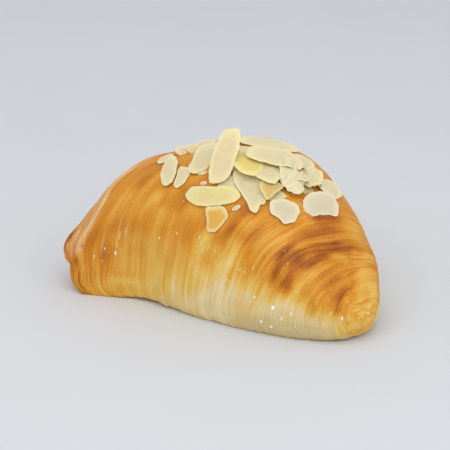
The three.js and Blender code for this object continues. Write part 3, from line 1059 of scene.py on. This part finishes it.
@dataclass
class LowerLip:
    """The lower lip: a pressed roll of leaves that fills the mouth below the upper edge.

    A cell of its noise is so many degrees along the roll and so many to a radian around it.
    """

    form: ShellForm
    depth: float = 16.0
    half_height: float = 6.7
    middle_height: float = 5.2
    inset: float = 1.4
    corner_inset: float = 3.0
    corner_sharpness: int = 6
    aim_x: float = -10.0
    tail: Point = (14.0, 9.0)
    squareness: float = 2.8
    corner_fall: float = 0.1
    steps: int = 150
    around: int = 120
    leaves: int = 46
    leaf_step: float = 0.28
    leaf_waver: float = 0.5
    waver_cell: Point = (12.0, 1.5)
    gape: float = 0.6
    gape_spread: float = 0.4
    gape_degrees: float = 20.0
    lump: float = 0.5
    lump_cell: Point = (14.0, 1.2)
    baked: float = 0.62
    leaf_tone: float = 0.14
    tone_degrees: float = 25.0
    # Painted light and shade: proud leaf edges paler, hollows browner.
    edge_light_and_shade: float = 0.3
    mean_edge: float = 0.3
    end_bake: float = 0.6
    glaze: float = 0.3
    seed: int = 71

    def build(self, finish: bpy.types.Material) -> bpy.types.Object:
        """Sweeps a superellipse roll just inside the mouth edge, with saw-toothed leaf edges along it.

        Args:
            finish: the dough's material.

        Returns:
            The lip piece.
        """
        v = np.concatenate([[0.0], np.linspace(0.0, 180.0, self.steps), [180.0]])
        along = v[:, None]
        edge = self.form.place(np.ones_like(v), v)
        inward = unit(np.stack([self.aim_x - edge[:, 0], -edge[:, 1], np.zeros_like(v)], -1))
        corner = np.abs(np.cos(np.radians(v))) ** self.corner_sharpness
        middle = edge + inward * (self.inset + self.corner_inset * corner + self.depth)[:, None]
        middle[:, 2] = self.middle_height
        ends = np.array([0, -1])
        middle[ends, 0] += self.tail[0]
        middle[ends, 1] -= np.sign(edge[ends, 1]) * self.tail[1]
        turn = np.linspace(0.0, 2 * np.pi, self.around, endpoint=False)[None, :]
        across, up = np.abs(np.cos(turn)), np.abs(np.sin(turn))
        reach = (across**self.squareness + up**self.squareness) ** (-1 / self.squareness)
        degrees, cells = self.waver_cell
        waver = self.leaf_waver * lattice_noise(along / degrees, turn * cells, self.seed)
        phase = turn / (2 * np.pi) * self.leaves + waver
        saw = phase - np.floor(phase)
        parted = lattice_noise(np.floor(phase), along / self.gape_degrees, self.seed + 1)
        opened = self.gape + self.gape_spread * parted
        degrees, cells = self.lump_cell
        lumps = self.lump * lattice_noise(along / degrees, turn * cells, self.seed + 2)
        relief = self.leaf_step * saw * opened + lumps
        swell = (1 - self.corner_fall * corner)[:, None]
        out = -(self.depth * reach + relief) * np.cos(turn)
        high = (self.half_height * swell * reach + relief) * np.sin(turn)
        rings = middle[:, None] + inward[:, None] * out[..., None]
        rings[..., 2] = np.maximum(rings[..., 2] + high, 0.0)
        points, faces = closed_skin(rings, middle[0], middle[-1])
        tone = self.leaf_tone * lattice_noise(phase, along / self.tone_degrees, self.seed + 3)
        # Painted light and shade: proud leaf edges paler, hollows browner.
        bake = self.baked + tone - self.edge_light_and_shade * (saw * opened - self.mean_edge)
        bake = np.concatenate([np.clip(bake, 0.0, 1.0).ravel(), [self.end_bake, self.end_bake]])
        bare = np.zeros_like(bake)
        shades = {"bake": bake, "dust_and_highlight": bare, "soak": bare, "glaze": bare + self.glaze}
        return add_piece("lower_lip", points, faces, finish, shades)


@dataclass(frozen=True)
class Slice:
    """One almond slice. Outline points are along and across its own plane, from its middle.

    Heading is the bearing of the long axis, tip is the slope and its bearing, curl is the bend along the
    length, wave is how far it buckles, fray how ragged its edge is and ruffle the height of its narrow
    folds. Nudge is how far it has settled from its solid's place.
    """

    heading: float
    tip: Point
    curl: float
    outline: tuple[Point, ...]
    tone: AlmondTone = AlmondTone.CREAM
    wave: float = 0.3
    fray: float = 0.16
    ruffle: float = 0.0
    nudge: tuple[float, float, float] = (0.0, 0.0, 0.0)


@dataclass(frozen=True)
class Bit:
    """A broken bit: place in plan, heading, length and width, height over the crust and bend.

    Tip is the slope and its bearing, where the bit does not lie flat on the crust.
    """

    at: Point
    heading: float
    size: Point
    tone: AlmondTone = AlmondTone.CREAM
    lift: float = 0.0
    curl: float = 4.0
    tip: Point | None = None


def closed_curve(corners: Sequence[Point], count: int, pull: float = 0.42) -> Array:
    """A smooth closed curve through corner points: a cardinal spline with gentle tangents.

    Args:
        corners: points in order round the outline.
        count: points to return.
        pull: length of a tangent, as a share of the step between the corners beside it.

    Returns:
        Points evenly spread over the corners.
    """
    knots = np.asarray(corners, float)
    at = np.linspace(0.0, len(knots), count, endpoint=False)
    k = np.floor(at).astype(int)
    t = (at - k)[:, None]
    before, here, after, later = (knots[(k + step) % len(knots)] for step in (-1, 0, 1, 2))
    leave, arrive = pull * (after - before), pull * (later - here)
    cubic = (2 * t**3 - 3 * t**2 + 1) * here + (3 * t**2 - 2 * t**3) * after
    return cubic + (t**3 - 2 * t**2 + t) * leave + (t**3 - t**2) * arrive


@dataclass
class AlmondPile:
    """Sliced almonds on the crown: large slices that stand for the CAD slices, and bits on the crust.

    A cell of a slab's noise is so many millimetres along and across its plane, counted from a start. A
    bit's fray has a fixed part and a part that grows with its length.
    """

    leaves: LeafLayers
    thickness: float = 0.5
    rim_rings: int = 4
    face_rings: int = 9
    face_reach: Span = (0.06, 0.93)
    rim_bulge: float = 0.05
    rim_thinning: float = 0.25
    rim_sharpness: int = 6
    # Painted glow of light through the thin rim: where the paler edge colour reaches.
    rim_glow: Span = (0.55, 1.0)
    around: int = 160
    settle: float = 0.5
    seed: int = 90
    buckle_cell: Point = (4.5, 4.0)
    buckle_start: Point = (7.0, 9.0)
    fibre_height: float = 0.06
    fibre_cell: Point = (1.6, 0.7)
    fibre_start: Point = (70.0, 90.0)
    ruffle_pitch: Point = (2.6, 6.0)
    ruffle_reach: Span = (0.0, 0.7)
    ruffle_waver: float = 0.5
    ruffle_cell: Point = (3.0, 3.0)
    ruffle_start: Point = (30.0, 50.0)
    chip_mm: float = 1.4
    chip_share: float = 2.2
    chip_line: float = 3.5
    chip_draw: int = 60
    fray_mm: float = 0.6
    fray_share: float = 0.5
    fray_line: float = 9.5
    fray_draw: int = 80
    bit_corners: int = 9
    bit_reach: Span = (0.82, 1.12)
    bit_fray: Span = (0.1, 0.02)
    bit_wave: float = 0.04
    bit_root: float = 0.45
    bit_phase: int = 20
    bit_draw: int = 40
    slices: tuple[Slice, ...] = (
        Slice(132, (34, -90), 14, (
            (8.5, 0.5), (5.5, -2.4), (1.5, -3.5), (-4.5, -3.4), (-7.3, -1.8), (-7.9, 0), (-5.7, 1.9),
            (-2.5, 2.8), (2, 2.7), (6.5, 2.2))),
        Slice(110, (37, -77), 10, (
            (4.4, 3.1), (4.6, 0.4), (3.4, -2.1), (-0.1, -2.6), (-2.9, -2.1), (-4.8, -0.1), (-3.7, 1.9),
            (0.2, 2.3)), fray=0.25),
        Slice(120, (15, -57), 16, (
            (-8.2, 2.8), (-2.7, 3.2), (4.3, 4.2), (9.8, 3), (10.5, -1.5), (5.3, -3.8), (-2.5, -4.8),
            (-6.1, -4.4), (-9.3, -2.5), (-10.5, 0))),
        Slice(28, (52, -68), 20, (
            (-10.8, 1), (-8.8, 3.6), (-4.9, 4.4), (1, 4), (6, 4.3), (9.9, 2.7), (10.7, 0.2), (7.9, -2.1),
            (3.4, -3.2), (-1.6, -3.5), (-5.6, -3.1), (-9.1, -1.1)), AlmondTone.YELLOW),
        Slice(141, (66, -67), 8, (
            (4, 3.8), (4, -2.5), (1, -4.5), (-1.8, -2.9), (-4.2, -0.4), (-4.8, 1), (-4.2, 3.4),
            (0.7, 3.6)), AlmondTone.TOASTED),
        Slice(158, (34, -45), 10, (
            (11.5, 1.9), (10.2, -0.8), (6.3, -4), (3, -5.2), (-1.6, -5.2), (-7.3, -3.4), (-7.6, -1.6),
            (-9.4, -0.4), (-10.4, 0.8), (-9.1, 2.3), (-5.8, 2.6), (-0.8, 3.7), (4.2, 4.6), (8.5, 4.2))),
        Slice(96, (34, -9), 8, (
            (-1.5, 4.5), (1.9, 3.8), (4.6, 0.5), (4.4, -1.5), (-0.5, -2.1), (-5.1, -2.6), (-4.4, 0.2),
            (-3.6, 2.6)), AlmondTone.TAN, wave=0.15),
        Slice(44, (10, 29), 12, (
            (-11.3, 0), (-8.6, 4.2), (0, 5.2), (6, 4.8), (10.4, 2.6), (11.4, -1), (7.5, -4.4), (1, -5.3),
            (-5, -5), (-9.6, -3.4))),
        Slice(32, (20, -8), 10, (
            (-4.8, 1.4), (-4.6, -2.3), (-3.4, -6.1), (1.3, -7.3), (5, -6.1), (5, 1.1), (2.3, 5.1),
            (-1.9, 5.5)), nudge=(0.0, 0.0, -0.2)),
        Slice(-1, (16, -32), 14, (
            (-6.4, 3), (-4, 4.4), (0, 4.6), (4.6, 3.6), (8.2, 0.4), (8.4, -3.6), (4, -6), (-2, -5.2),
            (-5.5, -1.5)), AlmondTone.GOLD, nudge=(0.0, 0.0, -0.9)),
        Slice(50, (25, 26), 10, (
            (-3.6, 4), (0.3, 4.6), (3.4, 2.6), (4.4, -1), (3, -4), (-0.4, -4.9), (-3.6, -3.6),
            (-4.4, 0.5))),
        Slice(57, (23, 6), 14, (
            (-8.7, 3.4), (-10.3, -2.5), (-6.7, -5), (-3, -5.2), (1.6, -5.2), (6.8, -5.6), (10.4, -3.8),
            (11.3, 1), (8.8, 4.8), (5, 6), (1, 5.7), (-4, 5.4)), nudge=(1.5, -1.2, -1.1)),
        Slice(114, (46, -55), 12, (
            (10.9, 2.6), (11.4, -0.8), (8.2, -2.7), (2.2, -3.7), (-4.8, -3.8), (-8.6, -2.9), (-10.4, -1.2),
            (-11.2, 1.6), (-9.9, 3.3), (-6.9, 4.3), (-1.9, 5), (3.4, 5.2), (8.3, 4.4)),
            fray=0.22, nudge=(0.0, 0.0, -1.2)),
        Slice(-173, (35, 24), 14, (
            (4.6, 3.5), (4.8, -2.2), (2.8, -4.8), (-0.6, -5), (-3.6, -3), (-4.6, 0.7), (-3, 4.1),
            (1.2, 5.4))),
        Slice(71, (41, -5), 12, (
            (-6.8, 1.1), (-4.7, 3.8), (-0.2, 5.8), (4.3, 6), (6.4, 4.6), (7, 0.7), (6.7, -2.2),
            (5.4, -4.3), (2.3, -3.8), (-1.9, -4.4), (-6.2, -5.8), (-7.4, -3.5)), AlmondTone.WHITE),
        Slice(51, (23, -12), 50, (
            (-4.8, 2), (-3.1, 4.2), (0.5, 5.3), (3.4, 4.6), (4.6, 2), (4.8, -1.4), (2.6, -4), (0, -5.2),
            (-3.2, -4.6), (-4.9, -1.4)), wave=0.6, fray=0.3, ruffle=0.35),
        Slice(162, (36, -18), 30, (
            (6.8, 2.2), (8, -0.4), (7.6, -2.9), (5.2, -3.5), (3, -2.8), (1.6, -4.9), (-0.5, -4.9),
            (-2.5, -3.8), (-5.1, -3.1), (-6.9, -0.5), (-5, 2.6), (-1.5, 4), (2, 4)),
            AlmondTone.IVORY_LIT, wave=0.8, fray=0.3, ruffle=0.3, nudge=(0.0, 0.0, -0.5)),
        Slice(40, (37, -26), 10, (
            (-5.5, 0.2), (-5.7, 2.4), (-2.6, 4.6), (1.1, 4.9), (3.8, 4.2), (5, 2.2), (5, -0.4), (4.3, -3),
            (1.6, -5), (-0.8, -3.6), (-4.2, -2.6)), AlmondTone.WHITE),
    )
    bits: tuple[Bit, ...] = (
        Bit((-26.0, -21.6), 94, (7.6, 6.4)),
        Bit((-21.2, -16.8), 40, (8.0, 4.6), lift=0.3, tip=(42.0, -45.0)),
        Bit((-19.6, -14.0), 62, (5.0, 4.2), lift=0.9, tip=(38.0, -40.0)),
        Bit((-19.6, -7.4), 60, (9.0, 4.4), lift=0.9, tip=(34.0, -40.0)),
        Bit((10.4, -20.6), 141, (9.4, 8.0)),
        Bit((24.9, 3.9), 77, (6.4, 5.0), AlmondTone.YELLOW),
        Bit((23.7, -10.3), 60, (8.0, 5.6)),
        Bit((4.0, -12.0), 100, (10.0, 7.6), AlmondTone.YELLOW),
        Bit((-4.4, -2.4), 50, (9.0, 8.0)),
        Bit((-3.2, -23.4), 100, (3.2, 2.2), AlmondTone.WHITE),
        Bit((-1.6, -22.2), 60, (2.4, 1.8)),
        Bit((1.2, -24.4), 50, (3.0, 1.8), AlmondTone.WHITE),
        Bit((18.0, -23.8), 60, (3.4, 1.9), AlmondTone.WHITE),
        Bit((18.1, 0.4), 51, (10.0, 6.0), lift=5.9, curl=190.0),
        Bit((24.9, 1.0), 70, (7.0, 5.0), lift=5.2, curl=120.0),
    )

    def leaning(self, tip: Point) -> Array:
        """The up direction of a slab that slopes toward a bearing.

        Args:
            tip: the slope and its bearing.

        Returns:
            The direction, of length one.
        """
        lean, toward = np.radians(tip)
        reach = math.sin(lean)
        return np.array([reach * math.cos(toward), reach * math.sin(toward), math.cos(lean)])

    def axes(self, up: Array, heading: float) -> Array:
        """Long, side and up directions of a slab, the long one over its bearing in plan.

        Args:
            up: the slab's up direction.
            heading: bearing of the long axis.

        Returns:
            The three directions, one to a row.
        """
        bearing = math.radians(heading)
        long = np.array([math.cos(bearing), math.sin(bearing), 0.0])
        long[2] = -(long @ up) / up[2]
        long = unit(long)
        return np.stack([long, np.cross(up, long), up])

    def frayed(self, outline: Array, depth: float, phase: int) -> Array:
        """Makes an outline ragged: smooth noise along its length moves each point in or out.

        Args:
            outline: closed outline, along and across.
            depth: largest move.
            phase: picks the noise.

        Returns:
            The ragged outline.
        """
        step = np.roll(outline, -1, axis=0) - np.roll(outline, 1, axis=0)
        out = unit(np.stack([step[:, 1], -step[:, 0]], -1))
        length = np.cumsum(np.linalg.norm(step, axis=1)) / 2
        seed = self.seed + phase
        chip = lattice_noise(length / self.chip_mm, np.array(self.chip_line), seed + self.chip_draw)
        fine = lattice_noise(length / self.fray_mm, np.array(self.fray_line), seed + self.fray_draw)
        ragged = self.fray_share * fine - self.chip_share * np.maximum(chip, 0.0)
        return outline + out * (depth * ragged)[:, None]

    def plane_noise(self, flat: Array, cell: Point, start: Point, phase: int) -> Array:
        """Smooth noise over a slab's own plane, in cells of a given size counted from a start."""
        along, across = flat[..., 0] / cell[0], flat[..., 1] / cell[1]
        return lattice_noise(along + start[0], across + start[1], self.seed + phase)

    def slab(
        self, outline: Array, curl: float, wave: float, ruffle: float, phase: int
    ) -> tuple[Array, Array]:
        """A thin slab in its own plane: rings shrink from the rim to the middle of each face.

        The profile across the rings is flat faces joined by a rounded rim. Slow noise makes it wavy, fine
        noise fibrous, a sine folds it toward the rim, and it is bent along its length to the curl.

        Args:
            outline: closed outline, along and across.
            curl: bend from end to end in degrees.
            wave: how far the slab buckles.
            ruffle: height of its narrow folds.
            phase: picks its waves.

        Returns:
            Rings of points from the top's middle to the underside's, and their share toward the rim.
        """
        faces = np.linspace(*self.face_reach, self.face_rings)
        bulge = np.radians(np.linspace(90.0, -90.0, 2 * self.rim_rings + 1))
        share = np.concatenate([faces, 1 - self.rim_bulge * (1 - np.cos(bulge)), faces[::-1]])
        top = np.ones(self.face_rings)
        level = np.concatenate([top, np.sin(bulge), -top]) * self.thickness / 2
        level = level * (1.0 - self.rim_thinning * share**self.rim_sharpness)
        middle = outline.mean(0)
        flat = middle + (outline - middle)[None] * share[:, None, None]
        along, across = flat[..., 0], flat[..., 1]
        start = (self.buckle_start[0] * phase, self.buckle_start[1])
        buckle = wave * self.plane_noise(flat, self.buckle_cell, start, phase)
        buckle += self.fibre_height * self.plane_noise(flat, self.fibre_cell, self.fibre_start, phase)
        waver = self.ruffle_waver * self.plane_noise(flat, self.ruffle_cell, self.ruffle_start, phase)
        fan = along / self.ruffle_pitch[0] + across / self.ruffle_pitch[1] + waver
        buckle += ruffle * np.sin(2 * np.pi * fan) * smooth_step(*self.ruffle_reach, share)[:, None]
        out = level[:, None] + buckle
        radius = np.ptp(outline[:, 0]) / math.radians(max(curl, 1.0))
        bend = along / radius
        bent = (radius + out) * np.sin(bend), across, (radius + out) * np.cos(bend) - radius
        return np.stack(bent, -1), np.repeat(share[:, None], len(outline), 1)

    def dressed(
        self,
        name: str,
        rings: Array,
        share: Array,
        axes: Array,
        middle: Array,
        material: bpy.types.Material,
    ) -> bpy.types.Object:
        """Turns a slab's rings to its axes, sets it at its middle and makes the piece.

        Args:
            name: name of the piece.
            rings: points in the slab's own plane.
            share: share toward the rim at each point.
            axes: long, side and up directions, one to a row.
            middle: place of the slab's middle.
            material: its finish.

        Returns:
            The new piece.
        """
        placed = rings @ axes + middle
        points, faces = closed_skin(placed, placed[0].mean(0), placed[-1].mean(0))
        # Rim share for the painted glow of light through the thin edge.
        rim = np.concatenate([smooth_step(*self.rim_glow, share).ravel(), [0.0, 0.0]])
        return add_piece(name, points, faces, material, {"rim": rim})

    def build_slices(self, finishes: dict[AlmondTone, bpy.types.Material]) -> None:
        """Makes each large slice at its CAD node's place and lets it stand for that node.

        Args:
            finishes: the almond materials by tone.
        """
        for number, cut in enumerate(self.slices, start=1):
            node = f"almond_slice_{number:02d}"
            low, high = (np.array(corner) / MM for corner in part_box(node))
            axes = self.axes(self.leaning(cut.tip), cut.heading)
            outline = self.frayed(closed_curve(cut.outline, self.around), cut.fray, number)
            rings, share = self.slab(outline, cut.curl, cut.wave, cut.ruffle, number)
            # An arc rises by an eighth of its length times its bend, and half of that centres it.
            rise = np.ptp(outline[:, 0]) * math.radians(cut.curl) / 16
            middle = (low + high) / 2 + np.array([0.0, 0.0, rise - self.settle]) + np.array(cut.nudge)
            piece = self.dressed(f"sliced_{node}", rings, share, axes, middle, finishes[cut.tone])
            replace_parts(piece, node)

    def build_bits(self, finishes: dict[AlmondTone, bpy.types.Material]) -> None:
        """Makes the bits and crumbs on the crust and the curled-over ends of the crumpled slices.

        Args:
            finishes: the almond materials by tone.
        """
        turns = np.linspace(0.0, 2 * np.pi, self.bit_corners, endpoint=False)
        circle = np.stack([np.cos(turns), np.sin(turns)], -1)
        for number, bit in enumerate(self.bits, start=1):
            length, phase = bit.size[0], self.bit_phase + number
            rng = np.random.default_rng(self.seed + self.bit_draw + number)
            reach = rng.uniform(*self.bit_reach, self.bit_corners)
            corners = circle * reach[:, None] * np.array(bit.size) / 2
            fray = self.bit_fray[0] + self.bit_fray[1] * length
            outline = self.frayed(closed_curve(corners, self.around // 2), fray, phase)
            rings, share = self.slab(outline, bit.curl, self.bit_wave * length, 0.0, phase)
            foot, normal = self.leaves.foot(*bit.at)
            axes = self.axes(self.leaning(bit.tip) if bit.tip else normal, bit.heading)
            middle = foot + normal * self.thickness * self.bit_root + np.array([0.0, 0.0, bit.lift])
            self.dressed(f"almond_bit_{number:02d}", rings, share, axes, middle, finishes[bit.tone])


@dataclass(frozen=True)
class Bead:
    """A bead of syrup: its lam and v, half its width across the leaf, half its length and its height."""

    lam: float
    half_across: float
    v: float
    half_along: float
    height: float


@dataclass
class SyrupBeads:
    """Dried syrup on the leaf edges: placed beads, and specks drawn between the least and the most."""

    leaves: LeafLayers
    places: tuple[tuple[float, ...], ...] = (
        (0.274, 0.65, 174.5, 1.1, 0.35), (0.254, 0.40, 185.9, 1.1, 0.25), (0.292, 0.70, 196.2, 0.7, 0.25),
        (0.235, 0.30, 177.0, 1.0, 0.20), (0.276, 0.60, 202.2, 0.6, 0.22), (0.322, 0.34, 170.2, 0.8, 0.18),
        (0.112, 0.28, 169.6, 0.8, 0.16), (0.153, 0.32, 162.1, 1.2, 0.18), (0.364, 0.30, 157.0, 0.7, 0.14),
        (0.470, 0.24, 153.0, 1.5, 0.14), (0.480, 0.22, 155.0, 1.7, 0.14), (0.490, 0.24, 153.0, 1.6, 0.14),
        (0.497, 0.26, 151.0, 1.2, 0.14), (0.486, 0.30, 160.0, 0.8, 0.14), (0.452, 0.24, 154.0, 0.9, 0.12),
        (0.545, 0.36, 154.0, 0.8, 0.14), (0.588, 0.50, 158.0, 0.7, 0.16), (0.664, 0.18, 158.0, 1.8, 0.12),
        (0.676, 0.18, 160.0, 2.2, 0.12), (0.681, 0.20, 164.0, 1.8, 0.12), (0.682, 0.45, 169.6, 1.0, 0.16),
        (0.705, 0.36, 166.7, 0.6, 0.14), (0.725, 0.24, 172.3, 1.0, 0.14), (0.378, 0.28, 157.0, 0.7, 0.12),
        (0.350, 0.22, 152.0, 1.2, 0.12),
    )
    least: Bead = Bead(0.12, 0.12, 130.0, 0.2, 0.06)
    most: Bead = Bead(0.80, 0.22, 200.0, 0.5, 0.10)
    scatter: int = 26
    painted_glint_from: Span = (163.0, 169.0)
    rim_sink: float = 0.12
    rim_sharpness: int = 8
    root: float = 0.2
    rings: int = 5
    around: int = 16
    seed: int = 17

    def build(self, finish: bpy.types.Material) -> bpy.types.Object:
        """Makes every bead a low dome on the crust: height falls with the square of the share to its rim.

        Args:
            finish: the syrup's material.

        Returns:
            The beads as one piece.
        """
        least, most = astuple(self.least), astuple(self.most)
        drawn = np.random.default_rng(self.seed).uniform(least, most, (self.scatter, len(least)))
        share = np.linspace(1 / self.rings, 1.0, self.rings)
        turn = np.linspace(0.0, 2 * np.pi, self.around, endpoint=False)[:, None]
        points, faces, amber, count = [], [], [], 0
        for bead in (Bead(*row) for row in (*self.places, *drawn)):
            foot, normal, along = self.leaves.spot(bead.lam, bead.v)
            side = np.cross(normal, along)
            flat = bead.half_along * np.cos(turn) * along + bead.half_across * np.sin(turn) * side
            height = bead.height * (1 - share**2) - self.rim_sink * share**self.rim_sharpness
            dome = foot + share[:, None, None] * flat[None] + height[:, None, None] * normal
            top, under = foot + bead.height * normal, foot - self.root * normal
            own, own_faces = closed_skin(dome, top, under, count)
            points.append(own)
            # Beads low on the pale side get the white colour, partly a painted glint.
            amber.append(np.full(len(own), 1.0 - smooth_step(*self.painted_glint_from, bead.v)))
            faces += own_faces
            count += len(own)
        shades = {"amber": np.concatenate(amber)}
        return add_piece("syrup_beads", np.concatenate(points), faces, finish, shades)


@dataclass(frozen=True)
class SoftBox:
    """A square soft light facing the pastry: bearing, height, metres away, metres to a side and watts."""

    name: str
    azimuth: float
    elevation: float
    distance: float
    size: float
    power: float


@dataclass
class Studio:
    """Pale floor, soft lights and the camera. The floor's radius is in metres."""

    azimuth: float = 50.98
    elevation: float = 20.0
    distance: float = 613.94
    aim: tuple[float, float, float] = (-13.65, -3.25, 23.51)
    lens: float = 128.96
    sensor: float = 36.0
    nearest: float = 10.0
    floor_radius: float = 6.0
    floor_sides: int = 64
    floor_gap: float = 0.05
    world_colour: str = "#f2f4f6"
    world_strength: float = 0.84
    lights: tuple[SoftBox, ...] = (
        SoftBox("key_box", 30.0, 58.0, 0.9, 0.9, 2.8),
        SoftBox("fill_box", 85.0, 30.0, 1.0, 0.9, 1.8),
    )

    def toward(self, azimuth: float, elevation: float) -> Vector:
        """Direction from the pastry to a place at a bearing and height in degrees."""
        a, e = math.radians(azimuth), math.radians(elevation)
        return Vector((math.sin(a) * math.cos(e), -math.cos(a) * math.cos(e), math.sin(e)))

    def add_floor(self) -> None:
        """Makes the floor, a wide flat disc just under the pastry."""
        turn = np.linspace(0.0, 2 * np.pi, self.floor_sides, endpoint=False)
        rim = np.stack([np.cos(turn), np.sin(turn), np.zeros_like(turn)], -1) * self.floor_radius
        rim[:, 2] = -self.floor_gap * MM
        mesh = bpy.data.meshes.new("floor")
        mesh.from_pydata(rim.tolist(), [], [list(range(self.floor_sides))])
        mesh.materials.append(MattePaper().material())
        floor = bpy.data.objects.new("floor", mesh)
        bpy.context.scene.collection.objects.link(floor)

    def face_pastry(self, thing: bpy.types.Object, back: Vector, away: float) -> None:
        """Stands a light or camera back from the pastry, turned toward it.

        Args:
            thing: what to place.
            back: direction from the pastry to it.
            away: metres between them.
        """
        thing.location = Vector(self.aim) * MM + back * away
        thing.rotation_euler = (-back).to_track_quat("-Z", "Y").to_euler()
        bpy.context.scene.collection.objects.link(thing)

    def add_light(self, box: SoftBox) -> None:
        """Adds one soft box.

        Args:
            box: its name, place, size and power.
        """
        lamp = bpy.data.lights.new(box.name, "AREA")
        lamp.size = box.size
        lamp.energy = box.power
        light = bpy.data.objects.new(box.name, lamp)
        self.face_pastry(light, self.toward(box.azimuth, box.elevation), box.distance)

    def add_camera(self) -> None:
        """Adds the camera at the photograph's angle."""
        lens = bpy.data.cameras.new("camera")
        lens.lens = self.lens
        lens.sensor_width = self.sensor
        lens.clip_start = self.nearest * MM
        camera = bpy.data.objects.new("camera", lens)
        self.face_pastry(camera, self.toward(self.azimuth, self.elevation), self.distance * MM)
        bpy.context.scene.camera = camera

    def build(self) -> None:
        """Sets up the floor, camera, world, lights and plain colour rendering."""
        self.add_floor()
        self.add_camera()
        world = bpy.data.worlds.new("soft_room")
        world.use_nodes = True
        background = world.node_tree.nodes["Background"]
        background.inputs["Color"].default_value = linear(self.world_colour)
        background.inputs["Strength"].default_value = self.world_strength
        bpy.context.scene.world = world
        for box in self.lights:
            self.add_light(box)
        bpy.context.scene.view_settings.view_transform = "Standard"


def main() -> None:
    """Builds the pastry piece by piece and the studio round it."""
    logging.basicConfig(level=logging.INFO, format="%(message)s")
    form = ShellForm()
    leaves = LeafLayers(form)
    leaves.lay()
    dough = BakedDough().material()
    WoundCrust(leaves).build(dough)
    LowerLip(form).build(dough)
    almonds = {tone: BlanchedAlmond(tone).material() for tone in AlmondTone}
    pile = AlmondPile(leaves)
    pile.build_slices(almonds)
    pile.build_bits(almonds)
    SyrupBeads(leaves).build(DriedSyrup().material())
    Studio().build()


if __name__ == "__main__":
    main()
